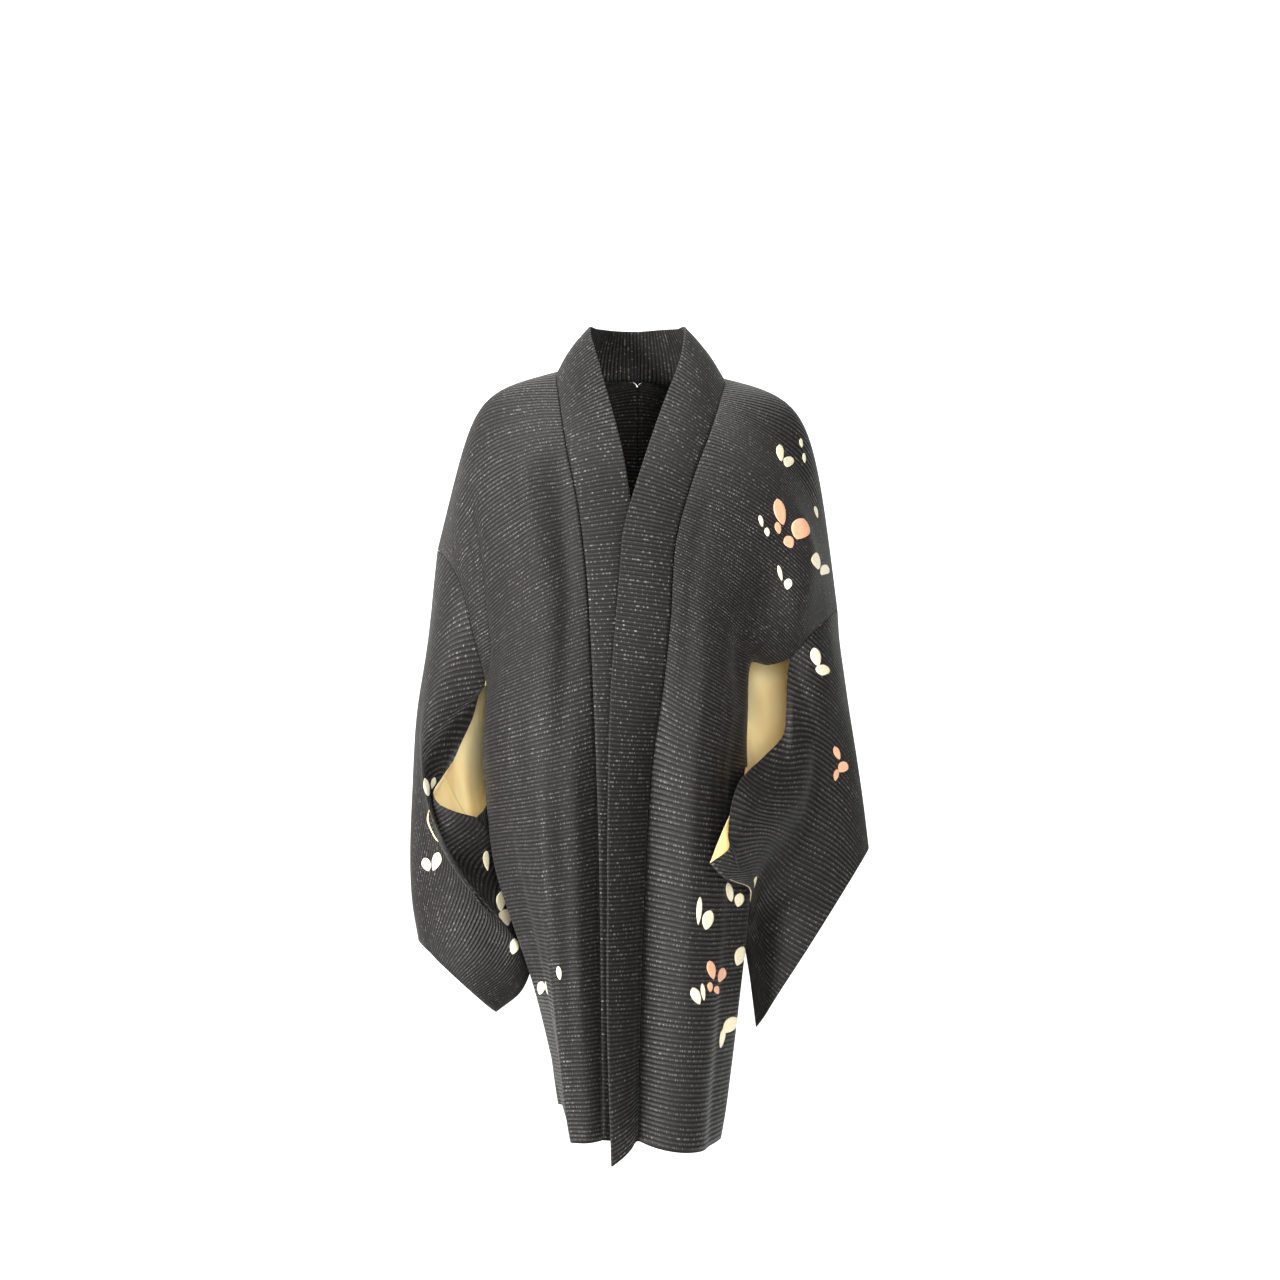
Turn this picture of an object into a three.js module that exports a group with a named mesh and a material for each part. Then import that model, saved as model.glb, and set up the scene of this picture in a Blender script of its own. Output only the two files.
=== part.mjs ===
// A haori, the short open jacket worn over a kimono, filled out as if on a figure: two lengths
// of cloth that each run from front hem over the shoulder to back hem, a wedge under each arm,
// one long collar band and two deep lined sleeves. Millimetres, +Z up, the front faces -Y, and
// the origin is where the garment rests on its wearer, midway between the shoulders.
import * as THREE from "three";

// Driving dimensions
const CLOTH = 1.6; // outer cloth with its turnings, as one wall
const COLLAR = 2.6; // collar band, folded double
const LINING = 1.0;
const SEAM = 0.4; // gap between pieces that are sewn edge to edge
const LINING_GAP = 1.3; // between a sleeve's cloth and its lining, beyond the seam round its mouth
const BODY_GRID = { across: 12, along: 46 };
const SLEEVE_GRID = { free: 11, along: 14 }; // steps down the free part of a layer, and to the cuff
const LINING_START = 0.012; // shares of the sleeve's width between which the lining is seen
const LINING_REACH = 0.42;
const LINING_STOP = { front: 0.38, back: 0.74 }; // shares of each layer's depth where it stops
const COLLAR_GRID = { across: 5 };
const GUSSET_GRID = { across: 5, along: 12 };

const CLOTH_FINISH = { color: 0x1d1c1c, roughness: 0.72, metalness: 0.0 };
const LINING_FINISH = { color: 0xf0dfa8, roughness: 0.6, metalness: 0.0 };

// Each row is one weft line of a body length. t runs from -1 at the front hem over the shoulder
// at 0 to 1 at the back hem. The line leaves the collar or the centre back seam at "inner",
// bows towards "a" and "b" as a cubic curve does, and ends at the armhole or side at "outer".
const RIGHT_LENGTH = [
  { t: -1.0, inner: [-35, -112, -781], a: [-72, -152, -784], b: [-76, -62, -781], outer: [-64, -8, -777] },
  { t: -0.8, inner: [-37, -107, -640], a: [-86, -154, -641], b: [-110, -58, -640], outer: [-98, -3, -640] },
  { t: -0.6, inner: [-39, -105, -500], a: [-92, -152, -501], b: [-156, -70, -500], outer: [-146, 0, -500] },
  { t: -0.47, inner: [-42, -106, -400], a: [-96, -144, -404], b: [-172, -74, -404], outer: [-160, -4, -402] },
  { t: -0.39, inner: [-46, -112, -300], a: [-94, -138, -318], b: [-170, -88, -346], outer: [-155, -21, -352] },
  { t: -0.31, inner: [-51, -114, -215], a: [-94, -132, -245], b: [-160, -96, -298], outer: [-156, -45, -324] },
  { t: -0.22, inner: [-60, -108, -142], a: [-104, -118, -172], b: [-156, -90, -236], outer: [-168, -59, -272] },
  { t: -0.13, inner: [-72, -82, -84], a: [-116, -92, -106], b: [-166, -80, -156], outer: [-181, -54, -222] },
  { t: -0.055, inner: [-81, -40, -30], a: [-130, -50, -46], b: [-180, -46, -80], outer: [-196, -34, -195] },
  { t: 0.0, inner: [-84, 5, 4], a: [-176, 4, -20], b: [-170, 4, -20], outer: [-210, 5, -183] },
  { t: 0.055, inner: [-62, 46, 2], a: [-136, 52, -12], b: [-182, 52, -52], outer: [-207, 38, -189] },
  { t: 0.11, inner: [-30, 68, 0], a: [-112, 84, -18], b: [-182, 78, -84], outer: [-199, 60, -210] },
  { t: 0.16, inner: [-0.4, 76, -4], a: [-96, 104, -26], b: [-178, 100, -120], outer: [-190, 70, -238] },
  { t: 0.24, inner: [-0.4, 90, -74], a: [-90, 118, -92], b: [-166, 112, -196], outer: [-178, 70, -280] },
  { t: 0.31, inner: [-0.4, 98, -150], a: [-86, 124, -168], b: [-154, 114, -262], outer: [-163, 45, -318] },
  { t: 0.39, inner: [-0.4, 101, -244], a: [-82, 126, -262], b: [-166, 100, -332], outer: [-160, 16, -352] },
  { t: 0.47, inner: [-0.4, 101, -350], a: [-80, 126, -366], b: [-168, 94, -398], outer: [-162, 16, -402] },
  { t: 0.6, inner: [-0.4, 98, -486], a: [-76, 124, -490], b: [-158, 94, -498], outer: [-146, 26, -500] },
  { t: 0.8, inner: [-0.4, 92, -634], a: [-66, 118, -636], b: [-117, 94, -639], outer: [-100, 34, -640] },
  { t: 1.0, inner: [-0.4, 88, -778], a: [-56, 114, -779], b: [-94, 92, -778], outer: [-76, 46, -777] },
];
const LEFT_LENGTH = [
  { t: -1.0, inner: [1, -98, -784], a: [46, -158, -796], b: [104, -72, -800], outer: [75, -8, -785] },
  { t: -0.85, inner: [4, -97, -664], a: [50, -162, -668], b: [121, -74, -668], outer: [91, -5, -664] },
  { t: -0.7, inner: [8, -98, -540], a: [54, -158, -544], b: [134, -78, -545], outer: [104, -4, -541] },
  { t: -0.56, inner: [15, -104, -410], a: [62, -150, -412], b: [130, -84, -412], outer: [108, -8, -410] },
  { t: -0.47, inner: [27, -114, -322], a: [72, -142, -334], b: [130, -88, -350], outer: [111, -16, -350] },
  { t: -0.4, inner: [34, -121, -255], a: [78, -138, -275], b: [126, -92, -306], outer: [116, -30, -303] },
  { t: -0.36, inner: [36, -119, -215], a: [84, -134, -240], b: [124, -84, -290], outer: [136, -40, -304] },
  { t: -0.31, inner: [40, -115, -175], a: [92, -128, -206], b: [140, -84, -268], outer: [156.5, -50, -296.5] },
  { t: -0.22, inner: [56, -98, -117], a: [104, -114, -148], b: [176, -88, -214], outer: [178, -52, -273] },
  { t: -0.13, inner: [76, -62, -62], a: [124, -80, -92], b: [188, -74, -160], outer: [195, -38, -258] },
  { t: -0.055, inner: [87, -32, -27], a: [136, -46, -48], b: [188, -42, -104], outer: [205, -18, -249] },
  { t: 0.0, inner: [91, 5, -3], a: [184, 4, -26], b: [184, 4, -32], outer: [211, 5, -247] },
  { t: 0.055, inner: [66, 46, -2], a: [134, 52, -14], b: [192, 52, -72], outer: [209, 34, -246] },
  { t: 0.11, inner: [32, 68, -3], a: [114, 84, -20], b: [192, 78, -108], outer: [204, 56, -252] },
  { t: 0.16, inner: [0.4, 76, -4], a: [96, 104, -28], b: [184, 100, -150], outer: [196, 68, -264] },
  { t: 0.24, inner: [0.4, 90, -74], a: [90, 118, -94], b: [168, 112, -206], outer: [180, 68, -283] },
  { t: 0.31, inner: [0.4, 98, -150], a: [86, 124, -168], b: [146, 112, -258], outer: [160, 46, -296] },
  { t: 0.36, inner: [0.4, 100, -206], a: [82, 125, -224], b: [134, 106, -288], outer: [138, 26, -300] },
  { t: 0.4, inner: [0.4, 101, -260], a: [78, 126, -274], b: [128, 100, -312], outer: [117, 12, -302] },
  { t: 0.47, inner: [0.4, 101, -345], a: [76, 126, -352], b: [126, 98, -362], outer: [111, 10, -358] },
  { t: 0.56, inner: [0.4, 99, -434], a: [74, 124, -438], b: [126, 98, -442], outer: [110, 14, -440] },
  { t: 0.7, inner: [0.4, 95, -550], a: [68, 120, -552], b: [126, 94, -553], outer: [109, 24, -552] },
  { t: 0.85, inner: [0.4, 91, -664], a: [62, 116, -666], b: [111, 92, -668], outer: [94, 36, -667] },
  { t: 1.0, inner: [0.4, 88, -780], a: [56, 114, -781], b: [95, 92, -784], outer: [78, 46, -785] },
];
// Ridges (depth above 0) and troughs pressed into a body length. Each runs from t0 to t1, from c0
// to c1 across it, where 0 is the collar or centre back and 1 the side; wide is its half width.
const RIGHT_FOLDS = [
  { t0: -1.1, t1: -0.42, c0: 0.36, c1: 0.3, wide: 0.07, depth: 7 },
  { t0: -1.1, t1: -0.45, c0: 0.66, c1: 0.6, wide: 0.1, depth: -7 },
  { t0: -1.1, t1: -0.5, c0: 0.88, c1: 0.84, wide: 0.07, depth: 6 },
  { t0: -0.5, t1: -0.1, c0: 0.16, c1: 0.1, wide: 0.09, depth: -7 },
  { t0: -0.34, t1: -0.04, c0: 0.9, c1: 0.76, wide: 0.08, depth: -9 },
  { t0: -0.3, t1: -0.08, c0: 0.34, c1: 0.3, wide: 0.1, depth: 4 },
];
const LEFT_FOLDS = [
  { t0: -1.1, t1: -0.42, c0: 0.64, c1: 0.6, wide: 0.09, depth: -6 },
  { t0: -1.1, t1: -0.5, c0: 0.84, c1: 0.82, wide: 0.07, depth: 6 },
  { t0: -0.5, t1: -0.2, c0: 0.66, c1: 0.58, wide: 0.13, depth: -7 },
  { t0: -0.3, t1: -0.08, c0: 0.82, c1: 0.66, wide: 0.12, depth: 5 },
];
// The same for a sleeve, from u t0 to t1 along it; c0 and c1 are places round it, as v below.
const RIGHT_SLEEVE_FOLDS = [
  { t0: 0.04, t1: 0.95, c0: -0.84, c1: -0.78, wide: 0.1, depth: 6 },
];
const LEFT_SLEEVE_FOLDS = [
  { t0: 0.02, t1: 0.5, c0: -0.9, c1: -0.86, wide: 0.09, depth: -5 },
  { t0: 0.1, t1: 1.1, c0: -0.56, c1: -0.64, wide: 0.14, depth: 5 },
];
// The back hangs in soft waves that deepen towards the hem.
const BACK_WAVES = { count: 2.5, depth: 9, from: 0.3 };

// Each row is one section of a sleeve from armhole (u 0) to cuff (u 1): the top fold, the bottom
// fold, and how far the front and back layers stand off the line between them.
const RIGHT_SLEEVE = [
  { u: 0.0, top: [-210, 5, -183], bottom: [-165, -50, -461], front: 32, back: 96 },
  { u: 0.26, top: [-220, 2, -288], bottom: [-148, 4, -510], front: 34, back: 18 },
  { u: 0.42, top: [-229, 0, -354], bottom: [-134, 4, -548], front: 34, back: 16 },
  { u: 0.6, top: [-235, -2, -428], bottom: [-120, 6, -588], front: 30, back: 15 },
  { u: 0.77, top: [-238, -4, -500], bottom: [-111, 2, -618], front: 26, back: 14 },
  { u: 0.89, top: [-236, -6, -550], bottom: [-121, -14, -645], front: 22, back: 14 },
  { u: 1.0, top: [-229, -8, -592], bottom: [-146, -30, -664], front: 18, back: 14 },
];
const LEFT_SLEEVE = [
  { u: 0.0, top: [211, 5, -247], bottom: [72, -142, -500], front: 26, back: 66 },
  { u: 0.12, top: [213, 4, -278], bottom: [90, -132, -518], front: 30, back: 58 },
  { u: 0.27, top: [218, 2, -316], bottom: [113, -86, -531], front: 34, back: 46 },
  { u: 0.42, top: [223, 0, -352], bottom: [116, -30, -553], front: 34, back: 28 },
  { u: 0.6, top: [230, -2, -397], bottom: [112, -2, -588], front: 30, back: 20 },
  { u: 0.8, top: [237, -4, -446], bottom: [118, -14, -634], front: 24, back: 16 },
  { u: 1.0, top: [243, -5, -496], bottom: [123, -34, -679], front: 18, back: 12 },
];
// The free inner edges of each sleeve below the armhole, as shares of the way to the bottom.
const RIGHT_MOUTH = {
  front: [
    [-163, -44, -335],
    [-170, -36, -358],
    [-180, -34, -380],
    [-190, -37, -401],
    [-202, -44, -420],
    [-210, -53, -434],
    [-205, -62, -445],
    [-192, -66, -452],
    [-178, -60, -457],
  ],
  back: [
    [-167, 38, -338],
    [-161, 54, -372],
    [-161, 50, -400],
    [-161.5, 36, -424],
    [-163, -6, -444],
  ],
};
const LEFT_MOUTH = {
  front: [
    [154, -54, -321],
    [153, -58, -350],
    [149, -66, -376],
    [129, -88, -396],
    [113, -108, -409],
    [102, -122, -421],
    [94, -130, -444],
    [91, -135, -470],
    [91, -139, -486],
  ],
  back: [
    [141, 36, -302],
    [124, 36, -306],
    [118.5, 42, -332],
    [118, 38, -352],
    [117.5, 18, -376],
    [117, -24, -398],
    [111, -74, -414],
    [101, -106, -436],
    [90, -124, -458],
    [80, -134, -480],
  ],
};
// Below the right armhole the sleeve's cloth is drawn towards the arm, which opens its mouth: how
// far at each u, which share of that at each depth of a layer, and which way.
const RIGHT_DRAW = [
  { u: 0.0, by: 0 },
  { u: 0.1, by: 30 },
  { u: 0.2, by: 50 },
  { u: 0.3, by: 58 },
  { u: 0.45, by: 46 },
  { u: 0.65, by: 14 },
  { u: 0.85, by: 2 },
  { u: 1.0, by: 0 },
];
const DRAW_SHARE = [
  { depth: 0.0, share: 0 },
  { depth: 0.25, share: 0.33 },
  { depth: 0.4, share: 0.62 },
  { depth: 0.5, share: 0.81 },
  { depth: 0.6, share: 0.79 },
  { depth: 0.7, share: 0.81 },
  { depth: 0.8, share: 0.71 },
  { depth: 0.9, share: 0.43 },
  { depth: 1.0, share: 0 },
];
const DRAW_WAY = { front: [-1, -0.6, 0.15], back: [-0.35, 0.1, 0.1] };
const SEWN_SHARE = { right: 0.5, left: 0.34 }; // share of a sleeve layer's depth sewn to the body
const ARMHOLE_T = 0.31; // body rows where both armholes end
const SIDE_T = 0.47; // body rows where the wedges begin

// The collar's free edge beside each body row.
const RIGHT_FREE_EDGE = [
  { t: -1.0, at: [4, -82, -788] },
  { t: -0.8, at: [12, -82, -641] },
  { t: -0.6, at: [12, -84, -500] },
  { t: -0.47, at: [10, -92, -400] },
  { t: -0.39, at: [6, -104, -298] },
  { t: -0.31, at: [2, -110, -211] },
  { t: -0.22, at: [-8, -106, -134] },
  { t: -0.13, at: [-19, -84, -72] },
  { t: -0.055, at: [-40, -34, 6] },
  { t: 0.0, at: [-51, 4, 48] },
  { t: 0.055, at: [-43, 34, 52] },
  { t: 0.11, at: [-24, 53, 52] },
  { t: 0.16, at: [0, 60, 52] },
];
const LEFT_FREE_EDGE = [
  { t: -1.0, at: [-24, -124, -804] },
  { t: -0.85, at: [-28, -134, -662] },
  { t: -0.7, at: [-28, -134, -540] },
  { t: -0.56, at: [-27, -132, -408] },
  { t: -0.47, at: [-24, -131, -315] },
  { t: -0.4, at: [-19, -130, -248] },
  { t: -0.36, at: [-16, -128, -208] },
  { t: -0.31, at: [-12, -124, -166] },
  { t: -0.22, at: [8, -102, -96] },
  { t: -0.13, at: [28, -66, -36] },
  { t: -0.055, at: [46, -28, 14] },
  { t: 0.0, at: [51, 4, 49] },
  { t: 0.055, at: [43, 34, 52] },
  { t: 0.11, at: [24, 52, 53] },
  { t: 0.16, at: [0, 60, 52] },
];
const NECK_T = 0.16; // body row where the collar seam reaches the centre back
const COLLAR_CROWN = 3; // how far the band rounds out between its edges

const vec = (list) => new THREE.Vector3(...list);
const mix = (a, b, share) => a.clone().lerp(b, share);
const smooth = (x) => THREE.MathUtils.smoothstep(x, 0, 1);

// A smooth curve through points at given stations, by cubic pieces whose slope at each station
// is that of the line between its neighbours.
function through(stations, points, at) {
  const last = stations.length - 1;
  let k = 0;
  while (k < last - 1 && at > stations[k + 1]) k += 1;
  const span = stations[k + 1] - stations[k];
  const s = (at - stations[k]) / span;
  const slope = (i) => {
    const before = Math.max(0, i - 1);
    const after = Math.min(last, i + 1);
    const run = stations[after] - stations[before];
    return points[after].clone().sub(points[before]).multiplyScalar(span / run);
  };
  const s2 = s * s;
  const s3 = s2 * s;
  return points[k]
    .clone()
    .multiplyScalar(2 * s3 - 3 * s2 + 1)
    .addScaledVector(slope(k), s3 - 2 * s2 + s)
    .addScaledVector(points[k + 1], 3 * s2 - 2 * s3)
    .addScaledVector(slope(k + 1), s3 - s2);
}

// One column of a table as a smooth curve over its stations.
function column(rows, station, name) {
  const stations = rows.map((row) => row[station]);
  const points = rows.map((row) => vec([].concat(row[name])));
  return (at) => through(stations, points, at);
}

// The same for a column of plain numbers.
function numbers(rows, station, name) {
  const stations = rows.map((row) => row[station]);
  const points = rows.map((row) => new THREE.Vector3(row[name], 0, 0));
  return (at) => through(stations, points, at).x;
}

// Outward normal of a surface at (p, q), with the sign that the caller gives.
function normalOf(surface, p, q, sign, box) {
  const step = 0.004;
  const [p0, p1, q0, q1] = box;
  const clampP = (x) => Math.min(p1, Math.max(p0, x));
  const clampQ = (x) => Math.min(q1, Math.max(q0, x));
  const alongP = surface(clampP(p + step), q).sub(surface(clampP(p - step), q));
  const alongQ = surface(p, clampQ(q + step)).sub(surface(p, clampQ(q - step)));
  return alongP.cross(alongQ).normalize().multiplyScalar(sign);
}

// A closed wall from a grid of outer points and outward normals. A ring closes on itself across.
function wall(points, normals, thick, ring = false, flip = false) {
  const rows = points.length;
  const columns = points[0].length;
  const coords = [];
  const faces = [];
  const put = (v) => coords.push(v.x, v.y, v.z);
  for (const row of points) row.forEach(put);
  points.forEach((row, i) => row.forEach((v, j) => put(v.clone().addScaledVector(normals[i][j], -thick))));
  const inner = rows * columns;
  const quad = (a, b, c, d) => {
    if (flip) faces.push(a, c, b, a, d, c);
    else faces.push(a, b, c, a, c, d);
  };
  const spans = ring ? columns : columns - 1;
  for (let i = 0; i < rows - 1; i += 1) {
    for (let j = 0; j < spans; j += 1) {
      const next = (j + 1) % columns;
      const a = i * columns + j;
      const b = i * columns + next;
      const c = a + columns;
      const d = b + columns;
      quad(a, b, d, c);
      quad(inner + b, inner + a, inner + c, inner + d);
    }
  }
  for (let j = 0; j < spans; j += 1) {
    const next = (j + 1) % columns;
    const last = (rows - 1) * columns;
    quad(inner + j, inner + next, next, j);
    quad(last + j, last + next, inner + last + next, inner + last + j);
  }
  if (!ring) {
    for (let i = 0; i < rows - 1; i += 1) {
      const a = i * columns;
      const b = a + columns;
      quad(a, b, inner + b, inner + a);
      const c = a + columns - 1;
      const d = c + columns;
      quad(inner + c, inner + d, d, c);
    }
  }
  const geometry = new THREE.BufferGeometry();
  geometry.setAttribute("position", new THREE.Float32BufferAttribute(coords, 3));
  geometry.setIndex(faces);
  return geometry;
}

// How far the folds lift a point: a bell across each fold, faded in and out at its ends.
function foldRise(folds, c, t) {
  let rise = 0;
  for (const fold of folds) {
    const s = (t - fold.t0) / (fold.t1 - fold.t0);
    if (s <= 0 || s >= 1) continue;
    const fade = smooth(Math.min(s, 1 - s) * 4);
    const off = (c - THREE.MathUtils.lerp(fold.c0, fold.c1, s)) / fold.wide;
    rise += fold.depth * fade * Math.exp(-off * off);
  }
  return rise;
}

// The surface of one body length: a cubic weft line for each t, with its folds pressed in.
function bodySurface(rows, folds, side) {
  const ends = ["inner", "a", "b", "outer"].map((name) => column(rows, "t", name));
  const plain = (c, t) => {
    const [p0, p1, p2, p3] = ends.map((end) => end(t));
    if (t >= NECK_T) p0.x = rows[rows.length - 1].inner[0];
    const r = 1 - c;
    return p0
      .multiplyScalar(r * r * r)
      .addScaledVector(p1, 3 * r * r * c)
      .addScaledVector(p2, 3 * r * c * c)
      .addScaledVector(p3, c * c * c);
  };
  return (c, t) => {
    let rise = foldRise(folds, c, t);
    if (t > BACK_WAVES.from) {
      const swell = smooth((t - BACK_WAVES.from) / (1 - BACK_WAVES.from));
      rise += BACK_WAVES.depth * swell * Math.sin(Math.PI * c) * Math.cos(2 * Math.PI * BACK_WAVES.count * c);
    }
    const point = plain(c, t);
    if (rise === 0) return point;
    return point.addScaledVector(normalOf(plain, c, t, side, [0, 1, -1, 1]), rise);
  };
}

const spread = (from, to, count) =>
  Array.from({ length: count + 1 }, (_, k) => from + ((to - from) * k) / count);

// Stations along a body length: even steps, with the rows where seams start and stop among them.
function bodyStations() {
  const marks = [-1, -SIDE_T, -ARMHOLE_T, 0, NECK_T, ARMHOLE_T, SIDE_T, 1];
  const steps = BODY_GRID.along;
  const out = [];
  for (let k = 0; k < marks.length - 1; k += 1) {
    const count = Math.max(2, Math.round(((marks[k + 1] - marks[k]) / 2) * steps));
    out.push(...spread(marks[k], marks[k + 1], count).slice(0, -1));
  }
  out.push(1);
  return out;
}

// Everything that a side's pieces share: its surface, its normals and the way out at its edges.
function bodySide(side) {
  const rows = side < 0 ? RIGHT_LENGTH : LEFT_LENGTH;
  const surface = bodySurface(rows, side < 0 ? RIGHT_FOLDS : LEFT_FOLDS, side);
  const free = column(side < 0 ? RIGHT_FREE_EDGE : LEFT_FREE_EDGE, "t", "at");
  const plainNormal = (c, t) => normalOf(surface, c, t, side, [0, 1, -1, 1]);
  const outward = (c, t) => surface(c, t).sub(surface(c - 0.01, t)).normalize();
  // Direction in which the garment's edge runs on at the collar seam.
  const seamRun = (t) =>
    surface(0, Math.min(NECK_T, t + 0.01)).sub(surface(0, Math.max(-1, t - 0.01))).normalize();
  const bandNormal = (t) =>
    seamRun(t).cross(free(t).sub(surface(0, t))).normalize().multiplyScalar(side);
  // At the collar seam both walls share a mitred normal, and at the centre back one with no x.
  const innerNormal = (t) => {
    const normal = plainNormal(0, t);
    if (t > NECK_T) normal.x = 0;
    else normal.add(bandNormal(t));
    return normal.normalize();
  };
  const acrossSeam = (t) => innerNormal(t).cross(seamRun(t)).multiplyScalar(side);
  const normal = (c, t) => (c === 0 ? innerNormal(t) : plainNormal(c, t));
  return { side, surface, normal, outward, free, bandNormal, acrossSeam };
}

function bodyPanel(body) {
  const across = spread(0, 1, BODY_GRID.across);
  const stations = bodyStations();
  const points = stations.map((t) => across.map((c) => body.surface(c, t)));
  const normals = stations.map((t) => across.map((c) => body.normal(c, t)));
  return wall(points, normals, CLOTH, false, body.side < 0);
}

// The wedge between the front and back lengths, bowed in between its two seams.
function gusset(body) {
  const across = spread(0, 1, GUSSET_GRID.across);
  const points = [];
  const normals = [];
  for (const t of spread(SIDE_T, 1, GUSSET_GRID.along)) {
    const front = body.surface(1, -t).addScaledVector(body.outward(1, -t), SEAM);
    const back = body.surface(1, t).addScaledVector(body.outward(1, t), SEAM);
    const wide = front.distanceTo(back);
    const frontNormal = body.normal(1, -t);
    const backNormal = body.normal(1, t);
    const out = new THREE.Vector3(body.side, 0, 0);
    points.push(across.map((c) => mix(front, back, c).addScaledVector(out, -0.3 * wide * Math.sin(Math.PI * c))));
    normals.push(
      across.map((c) => {
        const edge = mix(frontNormal, backNormal, c);
        return edge.lerp(out, Math.sin(Math.PI * c)).normalize();
      }),
    );
  }
  return wall(points, normals, CLOTH, false, body.side > 0);
}

// A sleeve's surface over u, armhole to cuff, and v: -1 at the bottom of the front layer, 0 along
// the top fold, 1 at the bottom of the back layer. Near the armhole it eases into the seam and
// the free edges of its mouth.
function sleeveSurface(body) {
  const right = body.side < 0;
  const rows = right ? RIGHT_SLEEVE : LEFT_SLEEVE;
  const folds = right ? RIGHT_SLEEVE_FOLDS : LEFT_SLEEVE_FOLDS;
  const mouth = right ? RIGHT_MOUTH : LEFT_MOUTH;
  const sewn = right ? SEWN_SHARE.right : SEWN_SHARE.left;
  const top = column(rows, "u", "top");
  const bottom = column(rows, "u", "bottom");
  const front = numbers(rows, "u", "front");
  const back = numbers(rows, "u", "back");
  const seam = (t) => body.surface(1, t).addScaledVector(body.outward(1, t), 2.7 * SEAM);
  const mouthCurve = (list, t) => {
    const points = [seam(t), ...list.map(vec), bottom(0)];
    const stations = points.map((_, k) => k / (points.length - 1));
    return (s) => through(stations, points, s);
  };
  const frontMouth = mouthCurve(mouth.front, -ARMHOLE_T);
  const backMouth = mouthCurve(mouth.back, ARMHOLE_T);
  const section = (u, v) => {
    const depth = Math.abs(v);
    const angle = Math.PI * depth;
    const stand = v < 0 ? -front(u) : back(u);
    const point = mix(top(u), bottom(u), (1 - Math.cos(angle)) / 2);
    point.y += stand * Math.sin(angle);
    return point;
  };
  const edge = (v) => {
    const depth = Math.abs(v);
    if (depth <= sewn) return seam((Math.sign(v) * ARMHOLE_T * depth) / sewn);
    const s = (depth - sewn) / (1 - sewn);
    return v < 0 ? frontMouth(s) : backMouth(s);
  };
  const drawn = numbers(RIGHT_DRAW, "u", "by");
  const share = numbers(DRAW_SHARE, "depth", "share");
  const plain = (u, v) => {
    const ease = (1 - u) ** 3;
    const point = section(u, v).addScaledVector(edge(v).sub(section(0, v)), ease);
    if (right) point.addScaledVector(vec(v < 0 ? DRAW_WAY.front : DRAW_WAY.back), drawn(u) * share(Math.abs(v)));
    return point;
  };
  return (u, v) => {
    const rise = foldRise(folds, v, u);
    if (Math.abs(rise) < 1e-3) return plain(u, v);
    return plain(u, v).addScaledVector(normalOf(plain, u, v, body.side, [0, 1, -1, 1]), rise);
  };
}

// Stations round a sleeve: down the front layer from the top fold, and up the back layer. Along
// the armhole they are the body's own stations, so that both edges meet point to point.
function sleeveRound(body) {
  const sewn = body.side < 0 ? SEWN_SHARE.right : SEWN_SHARE.left;
  const share = (t) => (t * sewn) / ARMHOLE_T;
  const seam = bodyStations().filter((t) => Math.abs(t) <= ARMHOLE_T + 1e-6);
  const frontSeam = seam.filter((t) => t <= 0).reverse().map(share);
  const backSeam = seam.filter((t) => t > 0).reverse().map(share);
  const free = spread(sewn, 1, SLEEVE_GRID.free).slice(1);
  return [...frontSeam, ...free.map((v) => -v), ...free.slice(0, -1).reverse(), ...backSeam];
}

const sleeveStations = () => spread(0, 1, SLEEVE_GRID.along).map((u) => u ** 1.2);

function sleeveNormals(body, surface, stations, round) {
  const sewn = body.side < 0 ? SEWN_SHARE.right : SEWN_SHARE.left;
  const step = 0.01;
  const wrap = (v) => (v > 1 ? v - 2 : v < -1 ? v + 2 : v);
  return stations.map((u) =>
    round.map((v) => {
      if (u === 0 && Math.abs(v) <= sewn) {
        const t = (Math.sign(v) * ARMHOLE_T * Math.abs(v)) / sewn;
        return body.normal(1, t);
      }
      const u0 = Math.max(0, u - step);
      const u1 = Math.min(1, u + step);
      const along = surface(u1, v).sub(surface(u0, v));
      const around = surface(u, wrap(v + step)).sub(surface(u, wrap(v - step)));
      return along.cross(around).normalize().multiplyScalar(body.side);
    }),
  );
}

function sleeve(body, surface) {
  const stations = sleeveStations();
  const round = sleeveRound(body);
  const points = stations.map((u) => round.map((v) => surface(u, v)));
  const normals = sleeveNormals(body, surface, stations, round);
  return wall(points, normals, CLOTH, true, body.side < 0);
}

// The lining follows the sleeve's own points, moved in past the cloth, and stops short of the
// bottom fold.
function sleeveLining(body, surface) {
  const stations = sleeveStations().filter((u) => u <= LINING_REACH);
  stations[0] = LINING_START;
  const round = sleeveRound(body).filter((v) => v > -LINING_STOP.front && v < LINING_STOP.back);
  const front = round.filter((v) => v <= 0).reverse();
  const back = round.filter((v) => v > 0).reverse();
  const order = [...front, ...back];
  const normals = sleeveNormals(body, surface, stations, order);
  const inset = (row) => CLOTH + (row === 0 ? SEAM : LINING_GAP);
  const points = stations.map((u, i) =>
    order.map((v, j) => surface(u, v).addScaledVector(normals[i][j], -inset(i))),
  );
  return wall(points, normals, LINING, false, body.side > 0);
}

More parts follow.
